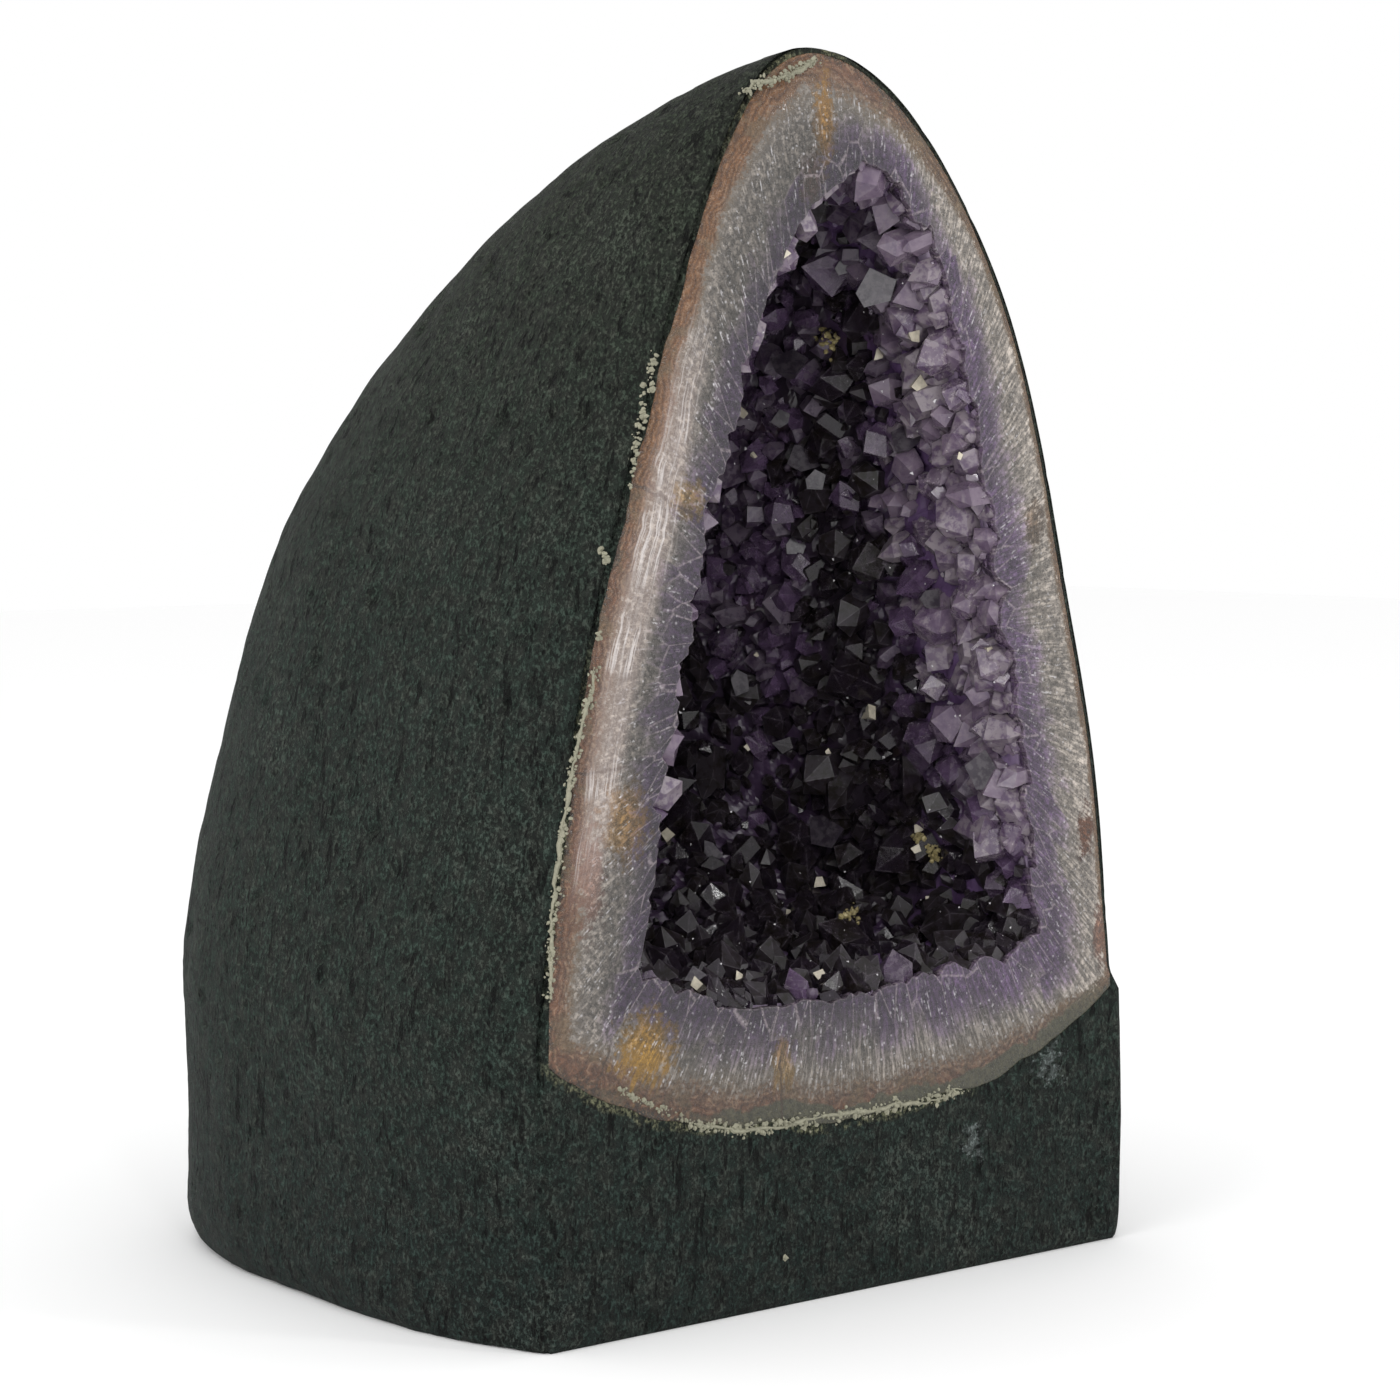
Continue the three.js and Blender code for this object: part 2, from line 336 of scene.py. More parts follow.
@dataclass(frozen=True)
class Eye:
    """The camera: its place in millimetres, how far it turns right and dips in degrees, and its lens."""

    place: tuple[float, float, float] = (-473.81, -607.13, 175.2)
    turn: float = 39.44
    dip: float = 4.0
    lens: float = 87.43
    sensor: float = 36
    frame_size: float = 1400

    def rays(self, pixels: Array) -> Array:
        """Unit directions through places in the frame, given in pixels from its top left corner."""
        turn = math.radians(self.turn)
        dip = math.radians(self.dip)
        forward = np.array([math.sin(turn) * math.cos(dip), math.cos(turn) * math.cos(dip), -math.sin(dip)])
        right = np.array([math.cos(turn), -math.sin(turn), 0])
        across = (pixels / self.frame_size - 0.5) * self.sensor / self.lens
        return unit(forward + across[:, :1] * right - across[:, 1:] * np.cross(right, forward))

    def strike(self, pixels: Array, inside: Callable[[Array], Array]) -> tuple[Array, Array]:
        """Where rays through the frame first enter a solid.

        Args:
            pixels: Places in the frame.
            inside: Says whether points are inside the solid.

        Returns:
            A point for each ray that enters it, and which of the rays do.
        """
        steps = np.linspace(560, 960, 1601)
        points = np.array(self.place) + self.rays(np.asarray(pixels, float))[:, None] * steps[:, None]
        inner = inside(points)
        found = inner.any(axis=1)
        return points[found, np.argmax(inner[found], axis=1)], found


def linear(colour: Colour) -> tuple[float, float, float, float]:
    """An sRGB colour of 0 to 255 as Blender's linear red, green, blue and alpha."""
    shares = [value / 255 for value in colour]
    return (*[s / 12.92 if s <= 0.04045 else ((s + 0.055) / 1.055) ** 2.4 for s in shares], 1.0)


class Value:
    """A number that varies over a surface. Sums, products and powers of it add Math nodes."""

    def __init__(self, nodes: "Nodes", socket: bpy.types.NodeSocket) -> None:
        """Wraps one output socket of a node tree."""
        self.nodes = nodes
        self.socket = socket

    def _math(self, operation: str, *terms: "Value | float") -> "Value":
        """The result of one Math node on one or two terms."""
        node = self.nodes.node("ShaderNodeMath", {"operation": operation}, dict(enumerate(terms)))
        return Value(self.nodes, node.outputs[0])

    def __add__(self, other: "Value | float") -> "Value":
        """self + other."""
        return self._math("ADD", self, other)

    def __radd__(self, other: float) -> "Value":
        """other + self."""
        return self._math("ADD", other, self)

    def __sub__(self, other: "Value | float") -> "Value":
        """self - other."""
        return self._math("SUBTRACT", self, other)

    def __rsub__(self, other: float) -> "Value":
        """other - self."""
        return self._math("SUBTRACT", other, self)

    def __mul__(self, other: "Value | float") -> "Value":
        """self * other."""
        return self._math("MULTIPLY", self, other)

    def __rmul__(self, other: float) -> "Value":
        """other * self."""
        return self._math("MULTIPLY", other, self)

    def __truediv__(self, other: "Value | float") -> "Value":
        """self / other."""
        return self._math("DIVIDE", self, other)

    def __pow__(self, other: float) -> "Value":
        """self to a power."""
        return self._math("POWER", self, other)

    def __abs__(self) -> "Value":
        """The size of self without its sign."""
        return self._math("ABSOLUTE", self)

    def sine(self) -> "Value":
        """The sine of self in radians."""
        return self._math("SINE", self)

    def least(self, other: "Value | float") -> "Value":
        """The smaller of self and other."""
        return self._math("MINIMUM", self, other)

    def most(self, other: "Value | float") -> "Value":
        """The larger of self and other."""
        return self._math("MAXIMUM", self, other)

    def rise(self, low: float, high: float) -> "Value":
        """0 below low, 1 above high and smooth between. It falls instead when low is above high."""
        if low > high:
            return 1 - self.rise(high, low)
        settings = {"interpolation_type": "SMOOTHSTEP"}
        inputs = {"Value": self, "From Min": low, "From Max": high}
        node = self.nodes.node("ShaderNodeMapRange", settings, inputs)
        return Value(self.nodes, node.outputs[0])


class Nodes:
    """A material's node tree, with short ways to add what the finishes use."""

    def __init__(self, name: str) -> None:
        """Starts a material of that name with an empty tree."""
        self.material = bpy.data.materials.new(name)
        self.material.use_nodes = True
        self.tree = self.material.node_tree
        self.tree.nodes.clear()

    def node(self, kind: str, settings: dict | None = None, inputs: dict | None = None) -> bpy.types.Node:
        """Adds any node.

        Args:
            kind: The node's type.
            settings: Its properties, set before its sockets.
            inputs: Socket names or numbers, with the value, colour, Value or socket that each takes.

        Returns:
            The new node.
        """
        node = self.tree.nodes.new(kind)
        for name, value in (settings or {}).items():
            setattr(node, name, value)
        for name, value in (inputs or {}).items():
            if isinstance(value, Value):
                value = value.socket
            if isinstance(value, bpy.types.NodeSocket):
                self.tree.links.new(value, node.inputs[name])
            else:
                node.inputs[name].default_value = value
        return node

    def place(self) -> bpy.types.NodeSocket:
        """Object coordinates in millimetres."""
        source = self.node("ShaderNodeTexCoord").outputs["Object"]
        return self.scaled(source, 1 / MM)

    def scaled(self, vector: bpy.types.NodeSocket, scale: float | Colour) -> bpy.types.NodeSocket:
        """A vector times one number, or times three."""
        factors = (scale,) * 3 if isinstance(scale, (int, float)) else scale
        node = self.node("ShaderNodeVectorMath", {"operation": "MULTIPLY"}, {0: vector, 1: factors})
        return node.outputs[0]

    def shifted(self, vector: bpy.types.NodeSocket, offset: Colour) -> bpy.types.NodeSocket:
        """A vector plus a fixed offset."""
        return self.node("ShaderNodeVectorMath", {"operation": "ADD"}, {0: vector, 1: offset}).outputs[0]

    def length(self, vector: bpy.types.NodeSocket) -> Value:
        """The length of a vector."""
        node = self.node("ShaderNodeVectorMath", {"operation": "LENGTH"}, {0: vector})
        return Value(self, node.outputs["Value"])

    def axes(self, vector: bpy.types.NodeSocket) -> tuple[Value, Value, Value]:
        """The three parts of a vector."""
        parts = self.node("ShaderNodeSeparateXYZ", inputs={0: vector}).outputs
        return Value(self, parts[0]), Value(self, parts[1]), Value(self, parts[2])

    def attribute(self, name: str, output: str = "Fac") -> bpy.types.NodeSocket:
        """An attribute of the mesh."""
        return self.node("ShaderNodeAttribute", {"attribute_name": name}).outputs[output]

    def noise(self, vector: bpy.types.NodeSocket, detail: float = 3, roughness: float = 0.55) -> Value:
        """Noise from about 0.2 to 0.8 whose lumps are about one unit of the vector across."""
        inputs = {"Vector": vector, "Scale": 1.0, "Detail": detail, "Roughness": roughness}
        return Value(self, self.node("ShaderNodeTexNoise", inputs=inputs).outputs[0])

    def cells(self, vector: bpy.types.NodeSocket, feature: str = "F1") -> Value:
        """The distance to the nearest of the seeds that stand about one unit of the vector apart."""
        settings = {"feature": feature}
        node = self.node("ShaderNodeTexVoronoi", settings, {"Vector": vector, "Scale": 1.0})
        return Value(self, node.outputs["Distance"])

    def cell_value(self, vector: bpy.types.NodeSocket) -> Value:
        """One number from 0 to 1 for the whole of each cell round such seeds."""
        node = self.node("ShaderNodeTexVoronoi", inputs={"Vector": vector, "Scale": 1.0})
        return self.axes(node.outputs["Color"])[0]

    def mix(
        self, share: Value | float, first: object, second: object, blend: str = "MIX"
    ) -> bpy.types.NodeSocket:
        """Two colours blended. A colour is an sRGB tuple or a socket."""
        ends = [linear(c) if isinstance(c, tuple) else c for c in (first, second)]
        settings = {"data_type": "RGBA", "blend_type": blend}
        return self.node("ShaderNodeMix", settings, {0: share, 6: ends[0], 7: ends[1]}).outputs[2]

    def ramp(self, value: Value, stops: list[tuple[float, Colour]]) -> bpy.types.NodeSocket:
        """A colour that follows a value through stops of position and sRGB colour."""
        node = self.node("ShaderNodeValToRGB", inputs={0: value})
        elements = node.color_ramp.elements
        while len(elements) < len(stops):
            elements.new(0.5)
        for element, (position, colour) in zip(elements, stops):
            element.position = position
            element.color = linear(colour)
        return node.outputs[0]

    def grey(self, value: Value) -> bpy.types.NodeSocket:
        """A value as a colour with its three parts alike, for use as a tint."""
        return self.node("ShaderNodeCombineXYZ", inputs={0: value, 1: value, 2: value}).outputs[0]

    def bump(self, height: Value, depth: float, under: object = None) -> bpy.types.NodeSocket:
        """A normal bent by a height of 0 to 1 that stands for a depth in millimetres, over another normal."""
        inputs = {"Strength": 1.0, "Distance": depth * MM, "Height": height}
        if under is not None:
            inputs["Normal"] = under
        return self.node("ShaderNodeBump", inputs=inputs).outputs[0]

    def finish(self, inputs: dict, volume: dict | None = None) -> bpy.types.Material:
        """Ends the tree in a Principled BSDF, with clear absorption where volume says so.

        Args:
            inputs: The Principled BSDF's sockets.
            volume: The sockets of a Volume Absorption node, if the material is see-through.

        Returns:
            The material.
        """
        surface = self.node("ShaderNodeBsdfPrincipled", inputs=inputs)
        ends = {"Surface": surface.outputs[0]}
        if volume:
            ends["Volume"] = self.node("ShaderNodeVolumeAbsorption", inputs=volume).outputs[0]
        self.node("ShaderNodeOutputMaterial", inputs=ends)
        return self.material


@dataclass(frozen=True)
class PaintedCement:
    """Matte grey-green paint over gritty cement, with upright trowel marks, pits, scuffs and pale crust."""

    paint: Colour = (32, 41, 36)
    paint_lit_top: Colour = (38, 43, 35)
    paint_shaded_foot: Colour = (27, 36, 33)
    bare: Colour = (43, 43, 39)
    dust: Colour = (96, 102, 94)
    crust: Colour = (112, 112, 88)

    def material(self) -> bpy.types.Material:
        """The finished paint."""
        nodes = Nodes("painted_cement")
        place = nodes.place()
        _, _, z = nodes.axes(place)
        # Painted light and shade: the paint is lighter towards the top and darker towards the foot.
        colour = nodes.mix(z.rise(120, 255), self.paint, self.paint_lit_top)
        colour = nodes.mix(z.rise(80, 0), colour, self.paint_shaded_foot)
        cloud = nodes.noise(nodes.scaled(place, 1 / 16), 4)
        trowel = nodes.noise(nodes.scaled(place, (1 / 2.4, 1 / 2.4, 1 / 9)), 4, 0.65)
        grit = nodes.noise(nodes.scaled(place, (1 / 0.8, 1 / 0.8, 1 / 1.1)), 3, 0.75).rise(0.4, 0.6)
        coarse = nodes.noise(nodes.scaled(place, 1 / 2.4), 3).rise(0.38, 0.62)
        warm = nodes.noise(nodes.shifted(nodes.scaled(place, 1 / 4), (5, 9, 2)), 4, 0.7).rise(0.4, 0.65)
        colour = nodes.mix(warm * 0.5, colour, self.bare)
        gouge = trowel.rise(0.59, 0.64) * cloud.rise(0.35, 0.5)
        pits = nodes.cells(nodes.scaled(place, (1 / 1.8, 1 / 1.8, 1 / 2.8))).rise(0.11, 0.27)
        sunk = (1 - pits) * cloud.rise(0.38, 0.52)
        # Painted shade: the pits and trowel gouges that the bump sinks are darkened as well.
        shade = (cloud * 0.4 + coarse * 0.5 + grit * 1.55) * (1 - gouge * 0.85) * (1 - sunk * 0.8)
        colour = nodes.mix(1.0, colour, nodes.grey(shade), "MULTIPLY")
        colour = self._dusted(nodes, place, colour, grit)
        colour = self._scuffed(nodes, place, colour, grit)
        colour = self._crusted(nodes, place, colour, grit)
        height = grit * 0.35 + coarse * 0.25 - gouge * 0.6 - sunk * 0.5 + trowel * 0.4
        normal = nodes.bump(height, 1.5)
        inputs = {
            "Base Color": colour,
            "Roughness": 0.62 + grit * 0.25,
            "Specular IOR Level": 0.14,
            "Normal": normal,
        }
        return nodes.finish(inputs)

    def _dusted(self, nodes: Nodes, place: object, colour: object, grit: Value) -> object:
        """Sparse pale grains, thicker in a few faint patches."""
        patch = nodes.noise(nodes.scaled(place, 1 / 30), 2).rise(0.5, 0.75)
        grains = nodes.cells(nodes.scaled(place, 1 / 3.1)).rise(0.13, 0.05) * (0.2 + patch * 0.5)
        haze = patch * grit.rise(0.45, 0.75) * 0.16
        return nodes.mix((grains + haze).least(1), colour, self.dust)

    def _scuffed(self, nodes: Nodes, place: object, colour: object, grit: Value) -> object:
        """Two whitish scuffs on the front of the foot, where the paint is rubbed."""
        for middle, radius in (((59, -81, 42), 8.0), ((36, -81, 28), 7.0)):
            far = nodes.length(nodes.shifted(place, tuple(-part for part in middle))) / radius
            rough = nodes.noise(nodes.scaled(place, (1 / 2.6, 1 / 2.6, 1 / 1.6)), 4, 0.75)
            near = (1.0 - far + (rough - 0.5) * 3.2).rise(0.45, 0.9) * far.rise(1.5, 0.9)
            rubbed = near * (0.25 + grit * 0.6)
            colour = nodes.mix(rubbed.least(0.8), colour, (112, 120, 118))
        return colour

    def _crusted(self, nodes: Nodes, place: object, colour: object, grit: Value) -> object:
        """Cream and green mineral crust where the cement meets the agate: left, top and sill."""
        x, _, z = nodes.axes(place)
        gap = Value(nodes, nodes.attribute("rim_gap"))
        wander = nodes.noise(nodes.scaled(place, 1 / 6), 3)
        left = x.rise(-40, -60) * (z.rise(66, 80) * z.rise(150, 118) + z.rise(218, 232))
        top = z.rise(232, 246) * x.rise(6, -6)
        sill = z.rise(64, 50) * x.rise(40, 28)
        there = (left + top + sill).least(1)
        band = (gap + (wander - 0.5) * 5).rise(2.0, 0.9) * wander.rise(0.42, 0.5)
        return nodes.mix(there * band * (grit * 0.8), colour, self.crust)


@dataclass(frozen=True)
class Stain:
    """A stain on the sawn face: its middle, its half width and half height, its strength and its colour."""

    x: float
    z: float
    wide: float
    tall: float
    strength: float
    colour: Colour


@dataclass(frozen=True)
class PolishedAgate:
    """Banded agate that turns to fibrous quartz and then to amethyst across the polished wall.

    The attribute across is the distance from the agate's outer edge in millimetres. The attribute share is 0
    at that edge, 1 where the amethyst starts and about 1.5 at the hollow. The attribute grain runs round the
    wall on a circle in its first two parts and across it in its third. The attribute rim_gap is the distance
    to the hollow.
    """

    name: str = "banded_agate"
    quartz: Colour = (118, 111, 104)
    lavender: Colour = (98, 86, 98)
    violet: Colour = (64, 49, 71)
    sparkle: Colour = (200, 197, 200)
    bevel_sheen: Colour = (150, 133, 127)
    stains: tuple[Stain, ...] = (
        Stain(-55, 58, 8.0, 8.5, 0.95, (158, 118, 36)),
        Stain(-60, 104, 6.0, 9.0, 0.8, (150, 112, 52)),
        Stain(-8, 245, 3.2, 10.0, 0.9, (150, 108, 40)),
        Stain(-44, 168, 4.5, 4.5, 0.75, (156, 124, 66)),
        Stain(-19, 51, 3.5, 6.0, 0.6, (146, 112, 46)),
        Stain(-12, 233, 3.5, 6.0, 0.75, (88, 62, 42)),
        Stain(-69, 93, 4.0, 11.0, 0.65, (118, 78, 62)),
        Stain(70, 93, 3.2, 6.5, 0.95, (80, 42, 14)),
        Stain(53, 162, 3.4, 6.0, 0.75, (74, 56, 38)),
        Stain(75, 70, 2.2, 8.0, 0.8, (92, 52, 28)),
    )

    def material(self) -> bpy.types.Material:
        """The finished stone."""
        nodes = Nodes(self.name)
        place = nodes.place()
        x, _, z = nodes.axes(place)
        across = Value(nodes, nodes.attribute("across"))
        grain = nodes.attribute("grain", "Vector")
        wave = nodes.noise(nodes.scaled(place, 1 / 11), 4, 0.6) - 0.5
        ripple = nodes.noise(nodes.scaled(place, 1 / 2.6), 3, 0.6) - 0.5
        below = z.rise(66, 50)
        right = x.rise(-5, 30) * (1 - below)
        bevel = x.rise(-20, -45) * z.rise(84, 104) * z.rise(212, 180) * across.rise(2, 5) * across.rise(14, 9)
        low_left = x.rise(-44, -60) * z.rise(112, 92)
        thickness = 4.8 - right * 2.6 + below * 3.0 + z.rise(214, 246) * 3.0 + low_left * 2.4
        layer = (across + (wave * 7 + ripple * 1.6) * (1 - right * 0.5)) / thickness
        speckle = nodes.noise(nodes.scaled(place, 1 / 0.8), 4, 0.7).rise(0.4, 0.6)
        sugar = nodes.noise(nodes.scaled(place, 1 / 1.5), 4, 0.75).rise(0.42, 0.6)
        fibre = nodes.noise(nodes.scaled(grain, (1 / 0.8, 1 / 0.8, 1 / 5.5)), 3, 0.65).rise(0.42, 0.6)
        columns = sugar + (fibre - sugar) * (0.3 + below * 0.5 + right * 0.2)
        rime = layer.rise(0.9, 1.4) * layer.rise(3.0, 1.5)
        # Painted light: lit brightens the quartz on the right and on the rounded left edge, where it paints a
        # highlight, and dims it at the top. It also holds a paler band by the agate and milky clouds.
        lit = 0.42 + rime * 0.2 + right * 0.56 + bevel * 0.45 - z.rise(214, 240) * 0.1
        lit = lit * (1 + wave * 1.5)
        quartz = self._quartz(nodes, grain, columns, wave, below * 1.1 + right * 1.1)
        bands = self._bands(nodes, place, layer, speckle, across)
        inner = (layer + (columns - 0.5) * 0.7 + (speckle - 0.5) * 0.4).rise(0.9, 1.45)
        colour = nodes.mix(inner, bands, quartz)
        colour = self._stained(nodes, place, colour, columns)
        stone = inner * (0.36 + columns**2 * 1.7) + speckle * 0.35
        shade = stone * lit + (1 - inner) * (0.55 + sugar * 0.3 - below * 0.22)
        colour = nodes.mix(1.0, colour, nodes.grey(shade), "MULTIPLY")
        colour = self._lined(nodes, place, grain, colour, speckle)
        colour = self._cracked(nodes, place, colour, ripple)
        colour = self._sheened_bevel(nodes, place, grain, bevel, colour)
        normal = nodes.bump(columns * 0.5 + speckle * 0.5, 0.12)
        rough = 0.2 + speckle * 0.25
        return nodes.finish({"Base Color": colour, "Roughness": rough, "IOR": 1.544, "Normal": normal})

    def _quartz(self, nodes: Nodes, grain: object, columns: Value, wave: Value, early: Value) -> object:
        """The colour of the quartz, which turns lavender and then violet towards the hollow, lobe by lobe."""
        share = Value(nodes, nodes.attribute("share"))
        lobe = nodes.cell_value(nodes.scaled(grain, (1 / 6.5, 1 / 6.5, 1 / 14))) - 0.5
        inner = share + (columns - 0.5) * 0.14 + wave * 0.8 + lobe * 0.3 + early * 0.2
        colour = nodes.mix(inner.rise(0.85, 1.2), self.quartz, self.lavender)
        return nodes.mix(inner.rise(1.08, 1.4), colour, self.violet)

    def _lined(self, nodes: Nodes, place: object, grain: object, colour: object, speckle: Value) -> object:
        """Bright column dashes and grains, pale lines parting the violet lobes, and a painted highlight on
        the edge.
        """
        share = Value(nodes, nodes.attribute("share"))
        dash = nodes.cells(nodes.scaled(grain, (1 / 0.9, 1 / 0.9, 1 / 5.0))).rise(0.36, 0.1)
        dot = nodes.cells(nodes.scaled(place, 1 / 1.6)).rise(0.25, 0.1)
        patch = nodes.noise(nodes.scaled(grain, 1 / 4), 2).rise(0.42, 0.58)
        inside = share.rise(0.3, 0.55) * (1 - share.rise(1.0, 1.6) * 0.6)
        bright = (dash * patch * 0.6 + dot * 0.45).least(0.9) * inside * speckle.rise(0.1, 0.7)
        colour = nodes.mix(bright, colour, self.sparkle)
        lobes = nodes.scaled(grain, (1 / 6.5, 1 / 6.5, 1 / 14))
        seam = nodes.cells(lobes, "DISTANCE_TO_EDGE").rise(0.03, 0.008)
        # Painted highlight: a pale line along the crust's edge where it meets the hollow.
        edge = Value(nodes, nodes.attribute("rim_gap")).rise(0.45, 0.1)
        line = (seam * share.rise(0.95, 1.2) * 0.5 + edge * 0.22) * (0.3 + speckle * 0.7)
        return nodes.mix(line, colour, (150, 138, 142))

    def _bands(self, nodes: Nodes, place: object, layer: Value, speckle: Value, across: Value) -> object:
        """The agate's own colours, with fine lines that follow its layers and curl with a noise.

        At the bottom a grey-green band comes first. On the upper left the agate is orange-brown, and on the
        right it is olive-brown and its lines curl less.
        """
        x, _, z = nodes.axes(place)
        stops = [
            (0.0, (48, 40, 28)),
            (0.06, (82, 60, 40)),
            (0.16, (104, 68, 46)),
            (0.28, (104, 75, 57)),
            (0.42, (113, 90, 71)),
            (0.56, (111, 99, 85)),
            (1.0, (104, 97, 90)),
        ]
        colour = nodes.ramp(layer * 0.5 + (speckle - 0.5) * 0.12, stops)
        upper = z.rise(150, 180) * x.rise(0, -20) * layer.rise(1.1, 0.6)
        colour = nodes.mix(upper * 0.8, colour, (112, 74, 38))
        right = x.rise(0, 30) * z.rise(60, 76)
        colour = nodes.mix(right * layer.rise(1.2, 0.7) * 0.75, colour, (82, 62, 38))
        curl = nodes.noise(nodes.scaled(place, 1 / 8), 2, 0.5)
        line = abs((curl * (18 - right * 10) + layer * 12).sine())
        pale_line = line.rise(0.4, 0.08) * layer.rise(1.4, 0.9) * speckle.rise(0.0, 0.7)
        colour = nodes.mix(pale_line * 0.55, colour, (150, 122, 98))
        colour = nodes.mix(line.rise(0.8, 1.0) * layer.rise(1.2, 0.7) * 0.6, colour, (64, 38, 22))
        blot = nodes.noise(nodes.shifted(nodes.scaled(place, 1 / 7), (3, 1, 8)), 4, 0.6).rise(0.52, 0.62)
        colour = nodes.mix(blot * layer.rise(1.3, 0.8) * 0.6, colour, (100, 84, 62))
        width = nodes.noise(nodes.scaled(place, 1 / 13), 4, 0.6).rise(0.28, 0.62) * 3.4 + 0.5
        low = z.rise(64, 52) * x.rise(-52, -30)
        green = low * (across - width - 0.9).rise(0.5, -0.3)
        return nodes.mix(green * 0.9, colour, (72, 73, 55))

    def _stained(self, nodes: Nodes, place: object, colour: object, columns: Value) -> object:
        """The stains, each an ellipse whose edge frays along the columns."""
        rough = nodes.noise(nodes.scaled(place, 1 / 3.0), 3, 0.6)
        for stain in self.stains:
            middle = nodes.shifted(place, (-stain.x, 81, -stain.z))
            local = nodes.scaled(middle, (1 / stain.wide, 1 / 12, 1 / stain.tall))
            soft = (nodes.length(local) + (rough - 0.5) * 1.8 + (columns - 0.5) * 0.5).rise(1.1, 0.4)
            colour = nodes.mix(soft * stain.strength, colour, stain.colour)
        return colour

    def _cracked(self, nodes: Nodes, place: object, colour: object, ripple: Value) -> object:
        """Thin dark cracks, each a straight line on the face between two points, bent by the ripple."""
        cracks = (
            ((-57, 171), (-41, 164)),
            ((-73, 114), (-60, 115)),
            ((-19.6, 52), (-19, 38)),
            ((-64, 60), (-70, 47)),
        )
        x, _, z = nodes.axes(place)
        for (x0, z0), (x1, z1) in cracks:
            run = math.hypot(x1 - x0, z1 - z0)
            along = ((x - x0) * (x1 - x0) + (z - z0) * (z1 - z0)) / run
            off = abs(((x - x0) * (z1 - z0) - (z - z0) * (x1 - x0)) / run + ripple * 2.2)
            there = along.rise(-1.5, 0.5) * along.rise(run + 1.5, run - 0.5) * off.rise(0.5, 0.12)
            colour = nodes.mix(there * 0.75, colour, (46, 32, 22))
        return colour

    def _sheened_bevel(self, nodes: Nodes, place: object, grain: object, bevel: Value, colour: object) -> object:
        """Painted highlight on the round left edge: pinkish, pale streaks along it in patches, partly
        polishing marks.
        """
        marks = nodes.noise(nodes.scaled(grain, (1 / 16, 1 / 16, 1 / 0.5)), 3, 0.6).rise(0.5, 0.64)
        patch = nodes.noise(nodes.scaled(place, 1 / 14), 2).rise(0.42, 0.56)
        # Painted highlight: the bevel's pinkish sheen, then its pale streaks, which are partly real polishing
        # marks.
        colour = nodes.mix(bevel * 0.4, colour, self.bevel_sheen)
        return nodes.mix(marks * bevel * (patch * 0.55 + 0.1), colour, (206, 200, 198))


class Habit(Enum):
    """The kinds of amethyst point, each with three tints, absorption colour and density, and gloss."""

    PALE = ("points_pale", (150, 133, 151), (184, 173, 177), (108, 88, 116), (0.6, 0.44, 0.72), 60.0, 0.28)
    VIOLET = ("points_violet", (110, 88, 120), (130, 118, 132), (72, 56, 78), (0.44, 0.24, 0.62), 160.0, 0.18)
    SMOKY = ("points_smoky", (46, 38, 49), (62, 54, 63), (34, 29, 25), (0.4, 0.34, 0.4), 260.0, 0.12)
    BROAD = ("broad_faces", (82, 74, 86), (104, 98, 104), (56, 48, 60), (0.5, 0.44, 0.56), 120.0, 0.24)

    def __init__(
        self,
        piece: str,
        body: Colour,
        veil: Colour,
        shadow: Colour,
        absorption: Colour,
        density: float,
        gloss: float,
    ) -> None:
        """Names the parts of each kind."""
        self.piece = piece
        self.body = body
        self.veil = veil
        self.shadow = shadow
        self.absorption = absorption
        self.density = density
        self.gloss = gloss


@dataclass(frozen=True)
class ClearQuartz:
    """Glossy see-through quartz of one habit, veiled inside, paler along its edges and darker at its root.

    The attribute tone is one number for each crystal. The attribute facet has three parts on each face, and
    each falls to 0 at one of its edges.
    """

    habit: Habit

    def material(self) -> bpy.types.Material:
        """The finished crystal."""
        nodes = Nodes(self.habit.piece)
        place = nodes.place()
        tone = Value(nodes, nodes.attribute("tone"))
        cloud = nodes.noise(nodes.scaled(place, 1 / 6), 3)
        veil = nodes.noise(nodes.scaled(place, 1 / 1.7), 4, 0.65)
        fleck = nodes.cells(nodes.scaled(place, 1 / 1.3)).rise(0.2, 0.08) * veil.rise(0.5, 0.62)
        first, second, third = nodes.axes(nodes.attribute("facet", "Vector"))
        edge = first.least(second).least(third).rise(0.06, 0.01) * veil.rise(0.4, 0.6)
        colour = nodes.mix((cloud + tone * 0.4).rise(0.55, 0.85), self.habit.body, self.habit.shadow)
        colour = nodes.mix((veil + (tone - 0.5) * 0.3).rise(0.46, 0.66) * 0.75, colour, self.habit.veil)
        # Painted shade: the shadow tint deepens towards each point's root, where the points crowd together.
        root = third.rise(0.75, 0.0) * 0.3 + veil.rise(0.52, 0.4) * 0.35
        colour = nodes.mix(root, colour, self.habit.shadow)
        colour = nodes.mix((edge * 0.3 + fleck * 0.35).least(0.6), colour, (150, 140, 150))
        inputs = {
            "Base Color": colour,
            "Roughness": 0.07 + tone.rise(0.2, 0.9) * 0.32 + veil.rise(0.5, 0.7) * 0.12,
            "IOR": 1.544,
            "Specular IOR Level": self.habit.gloss,
            "Transmission Weight": 0.5,
            "Normal": nodes.bump(veil, 0.07),
        }
        volume = {"Color": (*self.habit.absorption, 1.0), "Density": self.habit.density}
        return nodes.finish(inputs, volume)


